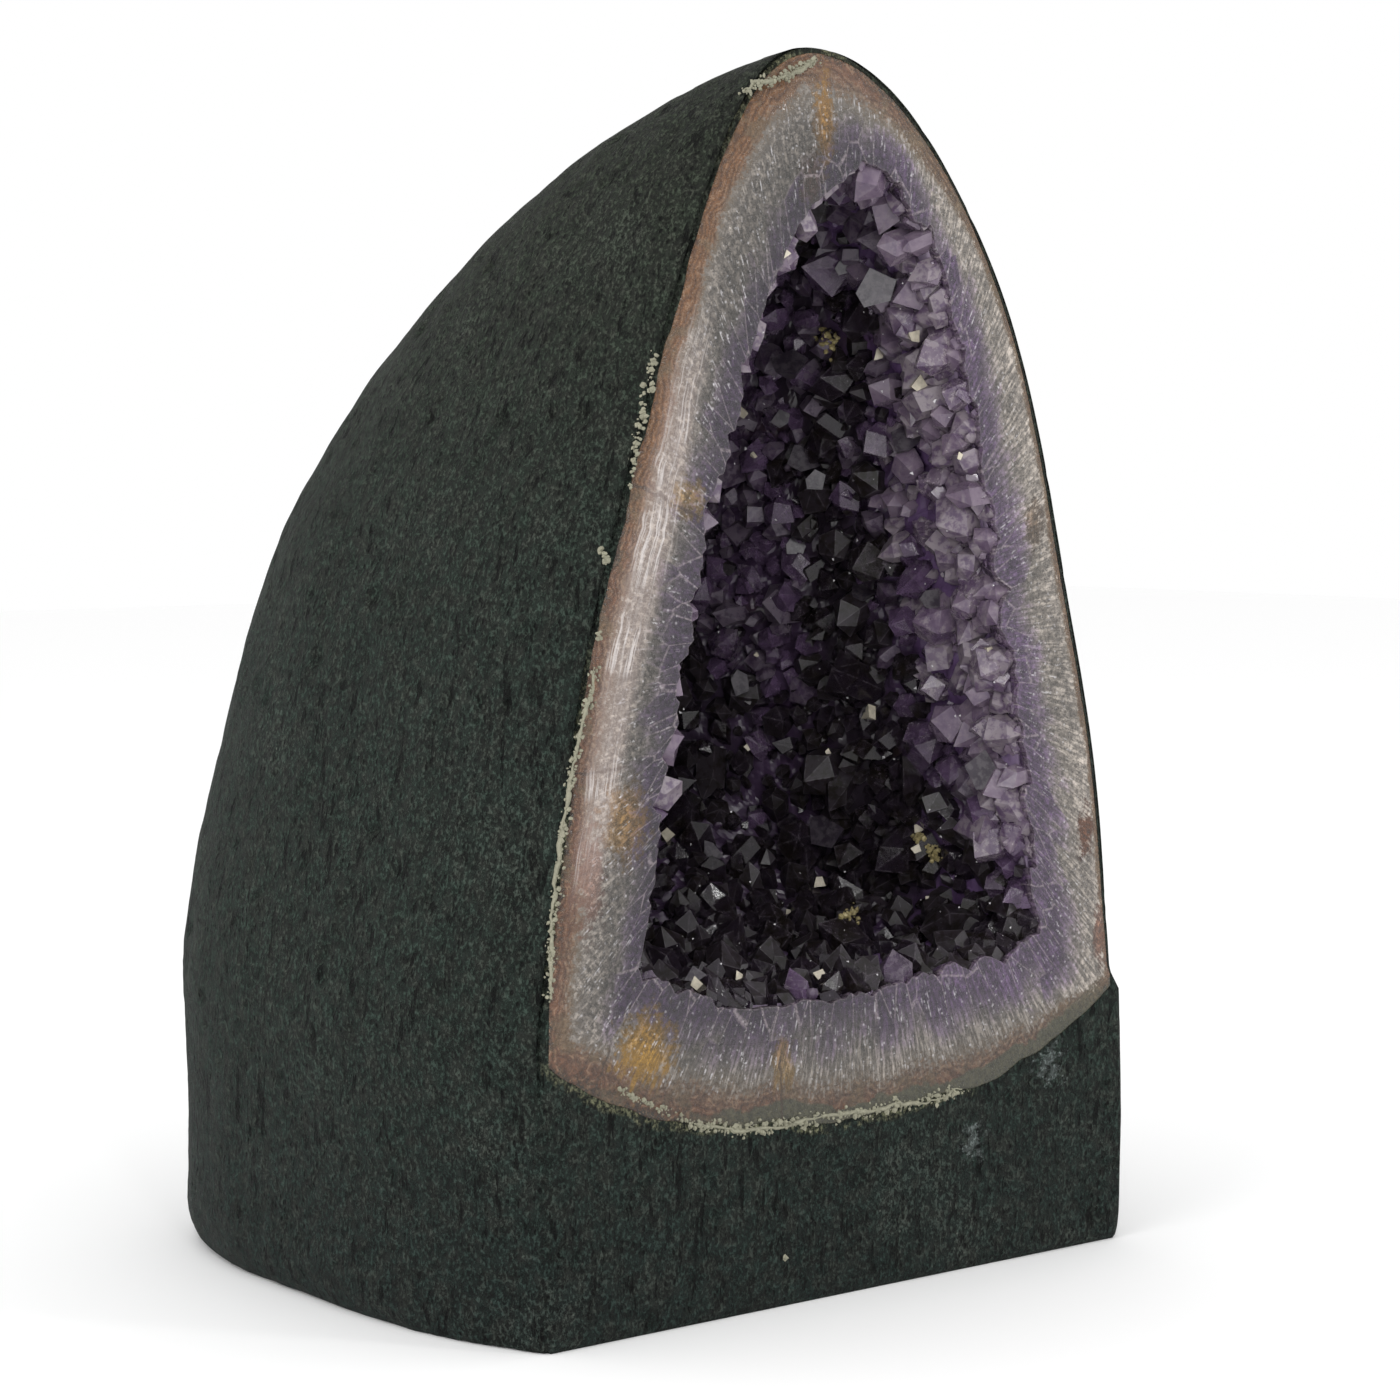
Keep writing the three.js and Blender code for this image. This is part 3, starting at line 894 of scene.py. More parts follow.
@dataclass(frozen=True)
class QuartzBed:
    """The points' ground: lavender at the face, violet, nearly black as painted shade, then violet at the
    back.
    """

    def material(self) -> bpy.types.Material:
        """The finished ground."""
        nodes = Nodes("quartz_bed")
        place = nodes.place()
        deep = Value(nodes, nodes.attribute("deep"))
        cloud = nodes.noise(nodes.scaled(place, 1 / 12), 3) - 0.5
        # Painted shade: the colour darkens down the hollow to nearly black at mid-depth.
        stops = [
            (0.0, (150, 138, 154)),
            (0.12, (112, 90, 128)),
            (0.28, (84, 62, 98)),
            (0.45, (40, 33, 42)),
            (0.58, (40, 33, 42)),
            (0.75, (66, 50, 74)),
            (1.0, (44, 36, 48)),
        ]
        colour = nodes.ramp(deep + cloud * 0.35, stops)
        rust = nodes.noise(nodes.shifted(nodes.scaled(place, 1 / 16), (7, 3, 1)), 3).rise(0.6, 0.75)
        colour = nodes.mix(rust * 0.5, colour, (58, 44, 30))
        grain = nodes.noise(nodes.scaled(place, 1 / 0.8), 3, 0.6)
        inputs = {"Base Color": colour, "Roughness": 0.18 + grain * 0.3, "IOR": 1.544}
        return nodes.finish(inputs)


@dataclass(frozen=True)
class Crumb:
    """Rough grains of one mineral: pale chalcedony, cream chips or brassy specks, and white painted glints.
    """

    name: str
    colour: Colour
    roughness: float = 0.75
    metal: float = 0.0

    def material(self) -> bpy.types.Material:
        """The finished grains."""
        nodes = Nodes(self.name)
        grain = nodes.noise(nodes.scaled(nodes.place(), 1 / 1.2), 4, 0.7)
        colour = nodes.mix(1.0, self.colour, nodes.grey(0.35 + grain * 1.2), "MULTIPLY")
        return nodes.finish({"Base Color": colour, "Roughness": self.roughness, "Metallic": self.metal})


@dataclass(frozen=True)
class PaleFloor:
    """A plain pale floor."""

    def material(self) -> bpy.types.Material:
        """The finished floor."""
        return Nodes("pale_floor").finish({"Base Color": linear((252, 252, 252)), "Roughness": 1.0})


class Sculptor:
    """Turns arrays of points and faces into finished pieces."""

    @staticmethod
    def piece(
        name: str,
        points: Array,
        faces: list[Array],
        node: str,
        slot: str,
        attributes: dict[str, Array],
        smooth: bool,
    ) -> bpy.types.Object:
        """Makes one piece, which rides on the geode and replaces a CAD node.

        Args:
            name: The piece's name.
            points: Its points in millimetres.
            faces: Arrays of faces, each with its own count of corners.
            node: The CAD node that it stands for.
            slot: The record's material slot; not used.
            attributes: Values or vectors for each point.
            smooth: Whether its faces are shaded smooth.

        Returns:
            The object.
        """
        mesh = bpy.data.meshes.new(name)
        corners = np.concatenate([block.ravel() for block in faces]).astype(np.int32)
        sizes = np.concatenate([np.full(len(block), block.shape[1]) for block in faces])
        starts = np.concatenate([[0], np.cumsum(sizes)[:-1]]).astype(np.int32)
        mesh.vertices.add(len(points))
        mesh.vertices.foreach_set("co", (points * MM).astype(np.float32).ravel())
        mesh.loops.add(len(corners))
        mesh.loops.foreach_set("vertex_index", corners)
        mesh.polygons.add(len(sizes))
        mesh.polygons.foreach_set("loop_start", starts)
        mesh.polygons.foreach_set("use_smooth", np.full(len(sizes), smooth))
        mesh.update(calc_edges=True)
        mesh.validate()
        for key, values in attributes.items():
            kind, field = ("FLOAT_VECTOR", "vector") if values.ndim == 2 else ("FLOAT", "value")
            layer = mesh.attributes.new(key, kind, "POINT")
            layer.data.foreach_set(field, values.astype(np.float32).ravel())
        item = bpy.data.objects.new(name, mesh)
        bpy.context.scene.collection.objects.link(item)
        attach(item, BODY)
        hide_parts(node)
        log.info("%s: %d points, %d faces", name, len(points), len(sizes))
        return item

    @staticmethod
    def quads(rows: int, columns: int, first: int = 0, close_rows: bool = False) -> Array:
        """The four corners of each cell of a grid that closes on itself from its last column to its first.

        Args:
            rows: How many rows of points the grid has.
            columns: How many columns.
            first: The number of the grid's first point.
            close_rows: Whether the last row also joins the first.

        Returns:
            The faces, seen from outside where rows run away and columns run to the left.
        """
        row = np.arange(rows if close_rows else rows - 1)[:, None]
        column = np.arange(columns)[None, :]
        after = (column + 1) % columns
        below = (row + 1) % rows
        cells = [
            row * columns + column,
            below * columns + column,
            below * columns + after,
            row * columns + after,
        ]
        return first + np.stack(np.broadcast_arrays(*cells), axis=-1).reshape(-1, 4)

    @staticmethod
    def fan(ring: Array, pole: int, turned: bool) -> Array:
        """Triangles from a closed ring of points to a pole."""
        after = np.roll(ring, -1)
        pair = (after, ring) if turned else (ring, after)
        return np.stack([*pair, np.full(len(ring), pole)], axis=-1)

    @staticmethod
    def normals(grid: Array) -> Array:
        """Unit normals of a grid whose columns close, from the cross product of its steps both ways."""
        around = np.roll(grid, -1, axis=1) - np.roll(grid, 1, axis=1)
        down = np.gradient(grid, axis=0)
        return unit(np.cross(down, around))


@dataclass(frozen=True)
class CementJacket:
    """The painted body: its outside, the front of its foot round the rim, and the hole for the agate."""

    shape: Shape
    columns: int = 552
    side_rows: int = 138
    front_rows: int = 26
    hole_rows: int = 4
    middle_y: float = 60
    middle_z: float = 118
    edge_softness: float = 1.3

    def build(self) -> bpy.types.Object:
        """Makes the jacket.

        It is one closed grid. Its rows run from a pole at the back over the outside to the edge of the face,
        in across the face to the rim, and down the hole to a pole inside. Every outside point lies on a ray
        from one centre, at an angle from the back that grows evenly to the angle of the face's edge.
        """
        shape = self.shape
        angle = shape.jacket.angles(np.arange(self.columns) / self.columns)
        edge = shape.on_face(angle, shape.edge_reach(angle))
        centre = np.array([0, shape.face_y + self.middle_y, self.middle_z])
        outside = self._outside(centre, edge)
        front, gap = self._front(angle)
        inner = self._hole(angle)
        rings = np.concatenate([outside, front, inner])
        gaps = np.concatenate([gap[:1] + outside[..., 1] - shape.face_y, gap, np.full(inner.shape[:2], 9.0)])
        back_pole = shape.outside_along(centre, np.array([[0.0, 1.0, 0.0]]))[0]
        poles = np.array([back_pole, [0, shape.face_y + shape.rind_depth - 1, Arch.CENTRE_Z]])
        rows = len(rings)
        ring_points = rings.reshape(-1, 3)
        points = np.concatenate([ring_points, poles])
        faces = [
            Sculptor.quads(rows, self.columns)[:, ::-1],
            Sculptor.fan(np.arange(self.columns), len(ring_points), False),
            Sculptor.fan((rows - 1) * self.columns + np.arange(self.columns), len(ring_points) + 1, True),
        ]
        attributes = {"rim_gap": np.concatenate([gaps.ravel(), [99, 99]])}
        piece = Sculptor.piece(
            "jacket_body", points, faces, "cement_jacket", "painted_cement", attributes, smooth=True
        )
        piece.data.materials.append(PaintedCement().material())
        return piece

    def _outside(self, centre: Array, edge: Array) -> Array:
        """Rows over the outside, roughened along their normals. The last is just inside the face's edge."""
        towards = edge - centre
        sideways = unit(towards * np.array([1, 0, 1]))
        most = np.arctan2(np.linalg.norm(towards[:, [0, 2]], axis=-1), towards[:, 1])
        turn = np.linspace(0, 1, self.side_rows + 1)[1:, None] * most
        directions = np.cos(turn)[..., None] * np.array([0, 1, 0]) + np.sin(turn)[..., None] * sideways
        grid = self.shape.outside_along(centre, directions)
        grid[-1] = edge
        normals = Sculptor.normals(grid)
        normals = normals * np.sign(np.sum(normals * directions, axis=-1, keepdims=True))
        behind_face = smoothstep(0, 5, grid[..., 1] - self.shape.face_y)
        fade = behind_face * (0.5 + 0.5 * smoothstep(0, 5, grid[..., 2]))
        grid = grid + normals * (self._relief(grid) * fade)[..., None]
        reach = np.linalg.norm(edge[:, [0, 2]] - [0, Arch.CENTRE_Z], axis=-1)
        grid[-1, :, 1] += self.shape.rounded_back(self._angle(edge), reach) + self.edge_softness
        grid[..., 2] = np.maximum(grid[..., 2], 0)
        return grid

    def _angle(self, points: Array) -> Array:
        """The angle of points about the bowls' centre."""
        return np.arctan2(points[..., 0], Arch.CENTRE_Z - points[..., 2])

    def _relief(self, points: Array) -> Array:
        """How far the cement stands out: broad unevenness, upright trowel marks, fine lumps and pits."""
        broad = 0.55 * soft_noise(points, 34, 1) + 0.3 * soft_noise(points, 13, 2)
        trowel = 0.28 * soft_noise(points, np.array([6, 6, 34]), 3)
        fine = 0.16 * soft_noise(points, 4, 4)
        pits = 0.9 * dimples(points, 9, 2.4, 0.3, 5) + 0.6 * dimples(points, 5, 1.5, 0.35, 21)
        return broad + trowel + fine - pits

    def _front(self, angle: Array) -> tuple[Array, Array]:
        """Rows across the sawn front, from the body's edge to the rim, and their gap to the rim."""
        shape = self.shape
        outer = shape.edge_reach(angle)
        inner = shape.rim_reach(angle) - 0.5
        share = np.linspace(0, 1, self.front_rows)[:, None]
        reach = outer - 0.25 + (inner - outer + 0.25) * share**1.5
        angles = np.broadcast_to(angle, reach.shape)
        grid = shape.on_face(angles, reach)
        gap = reach - inner - 0.5
        relief = self._relief(grid) * smoothstep(0, 2.5, gap) * smoothstep(0, 2, outer - reach)
        softness = self.edge_softness * np.clip(1 - (outer - reach) / (2 * self.edge_softness), 0, 1) ** 2
        softness = softness * smoothstep(0, 3, gap)
        grid[..., 1] += shape.rounded_back(angles, reach) + softness - np.minimum(relief, 0.1)
        grid[..., 2] = np.maximum(grid[..., 2], 0)
        return grid, gap

    def _hole(self, angle: Array) -> Array:
        """Rows down the hidden hole that holds the agate."""
        shape = self.shape
        share = np.linspace(0.1, 0.96, self.hole_rows)[:, None]
        angles = np.broadcast_to(angle, (self.hole_rows, len(angle)))
        grid = shape.on_face(angles, (shape.rim_reach(angle) - 0.5) * shape.shrink(share))
        grid[..., 1] += shape.rind_depth * share
        return shape.kept_inside(grid, 1.5)


@dataclass(frozen=True)
class PolishedRim:
    """The agate and quartz wall: its polished front, rounded at the edges, and the bowl behind it."""

    shape: Shape
    columns: int = 1500
    face_rows: int = 34
    hidden: tuple[float, ...] = (0.9, 0.7, 0.4, 0.12, 0.02)

    def build(self) -> bpy.types.Object:
        """Makes the rim.

        It is one closed grid. Its rows run from a pole at the back up the outside of the bowl to the polished
        edge, across the face by equal shares to where the amethyst starts, and down the inside to a second
        pole.
        """
        shape = self.shape
        way = np.arange(self.columns) / self.columns
        angle = shape.rim.angles(way)
        outer = shape.rim_reach(angle)
        inner = shape.crust.reach(angle) - 0.15
        share = np.append(np.linspace(0, 0.998, self.face_rows), 1)[:, None]
        reach = outer + (inner - outer) * share
        angles = np.broadcast_to(angle, reach.shape)
        face = shape.on_face(angles, reach)
        face[..., 1] += shape.rounded_back(angles, reach) + self._edge(outer - reach)
        depths = np.array(self.hidden)[:, None]
        back = self._bowl(angle, outer - 0.02, shape.rind_depth, depths)
        front = self._bowl(angle, inner, shape.crust_depth + 1, depths[::-1])
        rings = np.concatenate([back, face, front])
        across = np.concatenate([np.zeros(back.shape[:2]), outer - reach, np.full(front.shape[:2], 20.0)])
        on_face = np.broadcast_to(share, reach.shape)
        shares = np.concatenate([np.zeros(back.shape[:2]), on_face, np.ones(front.shape[:2])])
        pole_y = shape.face_y + np.array([shape.rind_depth, shape.crust_depth + 1])
        poles = np.stack([np.zeros(2), pole_y, np.full(2, Arch.CENTRE_Z)], axis=-1)
        ring_points = rings.reshape(-1, 3)
        last = (len(rings) - 1) * self.columns
        faces = [
            Sculptor.quads(len(rings), self.columns)[:, ::-1],
            Sculptor.fan(np.arange(self.columns), len(ring_points), False),
            Sculptor.fan(last + np.arange(self.columns), len(ring_points) + 1, True),
        ]
        attributes = {
            "across": np.append(across.ravel(), [0, 20]),
            "share": np.append(shares.ravel(), [0, 1]),
            "grain": grain_of(shape.rim.way(angle), across),
            "rim_gap": np.full(across.size + 2, 9.0),
        }
        points = np.concatenate([ring_points, poles])
        piece = Sculptor.piece(
            "polished_rim", points, faces, "agate_rind", "banded_agate", attributes, smooth=True
        )
        piece.data.materials.append(PolishedAgate().material())
        return piece

    def _edge(self, across: Array) -> Array:
        """How far the face drops at its outermost edge: a quarter round half a millimetre deep."""
        return 0.5 * np.clip(1 - across / 0.8, 0, 1) ** 2

    def _bowl(self, angle: Array, reach: Array, depth: float, share: Array) -> Array:
        """Rows of a bowl at shares of its depth, kept two millimetres and more inside the body."""
        shape = self.shape
        angles = np.broadcast_to(angle, (len(share), len(angle)))
        grid = shape.on_face(angles, reach * shape.shrink(share))
        grid[..., 1] += depth * share + 3.5 * (1 - share) * (depth > shape.crust_depth + 1)
        return shape.kept_inside(grid, 2)


def grain_of(way: Array, across: Array) -> Array:
    """The grain attribute of a grid: the way round the wall, wound on a circle, and the way across.

    Two more rows of zeros stand for the grid's two poles.
    """
    radius = 92.0
    turn = np.broadcast_to(FULL_TURN * way, across.shape)
    grain = np.stack([radius * np.cos(turn), radius * np.sin(turn), across], axis=-1).reshape(-1, 3)
    return np.concatenate([grain, np.zeros((2, 3))])


@dataclass(frozen=True)
class Scallops:
    """Bumps along a closed edge, each with its own place, width and height."""

    count: int
    low: float
    high: float
    power: float
    seed: int

    def height(self, way: Array) -> Array:
        """How far the highest bump stands out at each share of the way round.

        A bump's section is its height times 1 - |s|^power, with s from -1 to 1 across it.
        """
        random = np.random.default_rng(self.seed)
        middle = (np.arange(self.count) + random.uniform(-0.3, 0.3, self.count)) / self.count
        width = random.uniform(0.5, 0.85, self.count) / self.count
        height = random.uniform(self.low, self.high, self.count)
        off = (way[:, None] - middle + 0.5) % 1 - 0.5
        return np.max(height * np.clip(1 - np.abs(off / width) ** self.power, 0, 1), axis=1)


@dataclass(frozen=True)
class SawnCrust:
    """The sawn edge of the amethyst, a thick band whose inner edge is lobed where it cuts the points."""

    shape: Shape
    columns: int = 1500
    face_rows: int = 14
    lobes: Scallops = Scallops(44, 1.0, 4.6, 2.2, 5)
    teeth: Scallops = Scallops(130, 0.0, 1.3, 1.0, 6)
    thickness: float = 13

    def build(self) -> bpy.types.Object:
        """Makes the band, a closed ring of sections over its face, its lobed edge and its hidden back."""
        shape = self.shape
        angle = shape.opening.angles(np.arange(self.columns) / self.columns)
        way = shape.rim.way(angle)
        outer = shape.crust.reach(angle) - 0.12
        jag = self.lobes.height(way) + self.teeth.height(way)
        inner = shape.opening.reach(angle) + 1.4 - jag
        share = np.append(np.linspace(0, 0.985, self.face_rows), 1)[:, None]
        reach = outer + (inner - outer) * share
        depth = np.zeros_like(reach)
        depth[-1] = 0.12
        slope = np.array([1.0, 3.0, 6.5, self.thickness])[:, None]
        beyond = inner + np.array([-0.1, 0.7, 2.6, 7.0])[:, None]
        reaches = np.concatenate([reach, np.minimum(beyond, outer + 2), [outer + 1, outer]])
        hidden = np.full((2, self.columns), self.thickness)
        depths = np.concatenate([depth, slope + np.zeros_like(beyond), hidden])
        depths[-1] = 1.5
        rings = shape.on_face(np.broadcast_to(angle, reaches.shape), reaches)
        rings[..., 1] += depths
        across = shape.rim_reach(angle) - reaches
        attributes = {
            "across": across.ravel(),
            "share": (1 + 0.5 * np.clip((outer - reaches) / 8, 0, 1.4)).ravel(),
            "grain": grain_of(way, across)[:-2],
            "rim_gap": np.clip(reaches - inner, 0, 9).ravel(),
        }
        faces = [Sculptor.quads(len(rings), self.columns, close_rows=True)[:, ::-1]]
        piece = Sculptor.piece(
            "sawn_crust", rings.reshape(-1, 3), faces, "amethyst_crust", "amethyst", attributes, smooth=False
        )
        piece.data.materials.append(PolishedAgate(name="sawn_amethyst").material())
        return piece


@dataclass(frozen=True)
class CrystalBed:
    """The ground under the points, a thin closed bowl whose inside is all small sharp hills."""

    shape: Shape
    columns: int = 420
    rows: int = 120
    back_rows: int = 16

    def build(self) -> bpy.types.Object:
        """Makes the bed: rows from a pole behind, up the back, over the edge and down inside to a pole."""
        shape = self.shape
        angle = shape.opening.angles(np.arange(self.columns) / self.columns)
        share = np.sin(np.linspace(0.02, 0.995, self.rows) * math.pi / 2)[:, None]
        angles = np.broadcast_to(angle, (self.rows, self.columns))
        inside = shape.bowl(shape.opening, shape.hollow_depth, angles, np.broadcast_to(share, angles.shape))
        middle = np.array([0, shape.face_y + 20, Arch.CENTRE_Z])
        hill = facets(inside, 5.5, 31) * 3.0 + facets(inside, 2.6, 37) * 1.2
        fade = smoothstep(0, 0.12, share)[..., None]
        inside = inside + unit(middle - inside) * (hill - 2.5)[..., None] * fade
        inside[..., 1] = np.maximum(inside[..., 1], shape.face_y + 2.5)
        back_share = np.sin(np.linspace(0.995, 0.03, self.back_rows) * math.pi / 2)[:, None]
        wide = np.broadcast_to(angle, (self.back_rows, self.columns))
        behind = shape.bowl(shape.crust, shape.crust_depth, wide, np.broadcast_to(back_share, wide.shape))
        rings = np.concatenate([behind, inside])
        poles = np.array([behind[0].mean(axis=0), inside[-1].mean(axis=0)])
        ring_points = rings.reshape(-1, 3)
        last = (len(rings) - 1) * self.columns
        faces = [
            Sculptor.quads(len(rings), self.columns)[:, ::-1],
            Sculptor.fan(np.arange(self.columns), len(ring_points), False),
            Sculptor.fan(last + np.arange(self.columns), len(ring_points) + 1, True),
        ]
        points = np.concatenate([ring_points, poles])
        deep = np.clip((points[:, 1] - shape.face_y) / shape.hollow_depth, 0, 1)
        piece = Sculptor.piece(
            "crystal_bed", points, faces, "amethyst_crust", "amethyst", {"deep": deep}, smooth=False
        )
        piece.data.materials.append(QuartzBed().material())
        return piece


@dataclass(frozen=True)
class Batch:
    """One size of point: how many, how wide and how far down the hollow they grow, as shares of its depth."""

    count: int
    radii: tuple[float, float]
    depths: tuple[float, float]
    tilt: float


@dataclass(frozen=True)
class PointField:
    """All the amethyst points of the lining, sorted into their habits."""

    shape: Shape
    batches: tuple[Batch, ...] = (
        Batch(170, (2.7, 4.4), (0.01, 0.17), 0.22),
        Batch(62, (4.4, 6.0), (0.08, 0.997), 0.34),
        Batch(450, (2.8, 4.4), (0.05, 0.9975), 0.42),
        Batch(870, (1.8, 3.0), (0.0, 0.9975), 0.5),
        Batch(1320, (0.9, 1.8), (0.0, 0.9975), 0.65),
    )
    root: float = 0.9
    ridge: tuple[float, float] = (0.5, 0.92)
    shaft: tuple[float, float] = (0.5, 1.3)
    clearance: float = 0.4
    mood_spread: float = 0.12
    pale_mood: float = 0.12
    pale_depth: float = 0.4
    smoky_mood: float = 0.42
    seed: int = 8

    def build(self) -> list[bpy.types.Object]:
        """Makes one piece for each habit."""
        random = np.random.default_rng(self.seed)
        grown = [self._batch(random, batch) for batch in self.batches]
        points = np.concatenate([corners for corners, _ in grown])
        deep = np.concatenate([share for _, share in grown])
        habits = self._sorted(random, points[:, 0], deep)
        return [self._piece(habit, points[chosen], random) for habit, chosen in habits.items()]

    def _sorted(self, random: np.random.Generator, roots: Array, deep: Array) -> dict[Habit, Array]:
        """Which crystals have each habit, by a mood that is higher where the lining is darker.

        The mood is the share of the depth, with a little more low down and near the top, more over the sill,
        less by half past the dark zone, and a random part. Low moods near the face are pale, and more so on
        the right. High moods are smoky, and less so on the left. The rest are violet. This sorting paints
        light and
        shade: paler points where light falls, darker ones in the shaded depth and over the sill.

        Args:
            random: Gives each crystal's random part.
            roots: A root corner of each crystal.
            deep: Its share of the hollow's depth.

        Returns:
            For each habit, which of the crystals have it.
        """
        bottom = smoothstep(92, 78, roots[:, 2])
        left = smoothstep(-2, -20, roots[:, 0]) * (1 - bottom)
        right = smoothstep(12, 32, roots[:, 0]) * (1 - bottom)
        low = smoothstep(150, 95, roots[:, 2])
        high = smoothstep(170, 205, roots[:, 2])
        far = deep - 0.12 * low + 0.16 * high
        heart = smoothstep(0.56, 0.7, far)
        # Painted light and shade: the mood puts paler points where light falls and darker ones in the shade.
        mood = deep + 0.15 * low + 0.1 * high - 0.5 * heart + 0.32 * bottom
        mood = mood + random.uniform(-self.mood_spread, self.mood_spread, len(deep))
        pale = (mood - 0.06 * left - 0.2 * right < self.pale_mood) & (deep < self.pale_depth)
        smoky = mood - 0.3 * left > self.smoky_mood
        return {Habit.PALE: pale, Habit.VIOLET: ~pale & ~smoky, Habit.SMOKY: smoky}

    def _places(self, batch: Batch, offset: float) -> tuple[Array, Array, Array]:
        """Places on the hollow's wall, their inward normals and their share of its depth.

        The golden ratio spreads them evenly: turn by turn round the arch, and by equal shares of the wall's
        area.
        """
        shape = self.shape
        ladder = np.sin(np.linspace(0, 1, 400) * math.pi / 2) * 0.9985
        path = shape.bowl(shape.opening, shape.hollow_depth, np.full(400, math.pi / 2), ladder)
        run = np.linalg.norm(np.diff(path, axis=0, prepend=path[:1]), axis=-1)
        area = np.cumsum(run * shape.shrink(ladder))
        order = np.arange(batch.count)
        shallow, deep = np.interp(batch.depths, ladder, area)
        share = np.interp(shallow + (deep - shallow) * (order + 0.5) / batch.count, area, ladder)
        angle = shape.opening.angles(order * GOLDEN + offset)
        place = shape.bowl(shape.opening, shape.hollow_depth, angle, share)
        along = shape.bowl(shape.opening, shape.hollow_depth, angle + 0.01, share) - place
        next_share = np.minimum(share + 0.002, 0.9999)
        deeper = shape.bowl(shape.opening, shape.hollow_depth, angle, next_share) - place
        normal = unit(np.cross(along, deeper))
        inwards = np.array([0, shape.face_y + 25, Arch.CENTRE_Z]) - place
        normal = normal * np.sign(np.sum(normal * inwards, axis=-1, keepdims=True))
        return place, normal, share

    def _batch(self, random: np.random.Generator, batch: Batch) -> tuple[Array, Array]:
        """The points of one size, each as 13 corners: a root ring, a shoulder ring and a tip.

        A crystal is a six-sided prism that three broad faces close. Its ridges drop to every other shoulder
        corner, and the corners between lie up to as far again below, which makes neighbouring triangles one
        broad face.
        """
        count = batch.count
        place, normal, share = self._places(batch, random.uniform())
        place = place + random.normal(0, 0.2 * batch.radii[1], place.shape)
        axis = unit(normal + random.normal(0, batch.tilt, normal.shape))
        first = unit(np.cross(axis, random.normal(0, 1, axis.shape)))
        second = np.cross(axis, first)
        radius = batch.radii[0] + (batch.radii[1] - batch.radii[0]) * random.uniform(0, 1, count) ** 1.4
        shaft = radius * random.uniform(*self.shaft, count)
        drop = radius * random.uniform(*self.ridge, count)
        turn = np.arange(6) * FULL_TURN / 6
        wobble = 1 + random.uniform(-0.24, 0.2, (count, 6))
        ring_first = radius[:, None] * wobble * np.cos(turn)
        ring_second = radius[:, None] * wobble * np.sin(turn)
        lower = np.where(np.arange(6) % 2, random.uniform(0.15, 1.0, (count, 6)), 0)
        uneven = random.uniform(-0.12, 0.12, (count, 6))
        shoulders = shaft[:, None] - drop[:, None] * lower + radius[:, None] * uneven
        corners = np.zeros((count, 13, 3))
        corners[:, :6, 0] = ring_first
        corners[:, :6, 1] = ring_second
        corners[:, :6, 2] = -self.root * radius[:, None] - 0.4
        corners[:, 6:12, 0] = ring_first
        corners[:, 6:12, 1] = ring_second
        corners[:, 6:12, 2] = np.maximum(shoulders, -0.4)
        corners[:, 12, :2] = random.uniform(-0.45, 0.45, (count, 2)) * radius[:, None]
        corners[:, 12, 2] = shaft + drop
        basis = np.stack([first, second, axis], axis=1)
        world = place[:, None, :] + np.einsum("nci,nij->ncj", corners, basis)
        proud = self.shape.face_y + self.clearance - world[..., 1].min(axis=1)
        world[..., 1] += np.maximum(proud, 0)[:, None]
        return world, share

    def _piece(self, habit: Habit, corners: Array, random: np.random.Generator) -> bpy.types.Object:
        """Joins the crystals of one habit into one piece."""
        count = len(corners)
        first = np.arange(count)[:, None, None] * 13
        ring = np.arange(6)
        after = (ring + 1) % 6
        sides = first + np.stack([ring, after, after + 6, ring + 6], axis=-1)
        tips = first + np.stack([ring + 6, after + 6, np.full(6, 12)], axis=-1)
        roots = first[:, 0] + ring[::-1]
        faces = [sides.reshape(-1, 4), tips.reshape(-1, 3), roots]
        side_facet = np.tile([[0, 1, 1], [1, 0, 1], [1, 0, 1], [0, 1, 1]], (6 * count, 1))
        tip_facet = np.tile(np.eye(3), (6 * count, 1))
        facet = np.concatenate([side_facet, tip_facet, np.ones((6 * count, 3))])
        tone = np.repeat(random.uniform(0, 1, count), 13)
        piece = Sculptor.piece(
            habit.piece,
            corners.reshape(-1, 3),
            faces,
            "amethyst_crust",
            "amethyst",
            {"tone": tone},
            smooth=False,
        )
        layer = piece.data.attributes.new("facet", "FLOAT_VECTOR", "CORNER")
        layer.data.foreach_set("vector", facet.astype(np.float32).ravel())
        piece.data.materials.append(ClearQuartz(habit).material())
        return piece


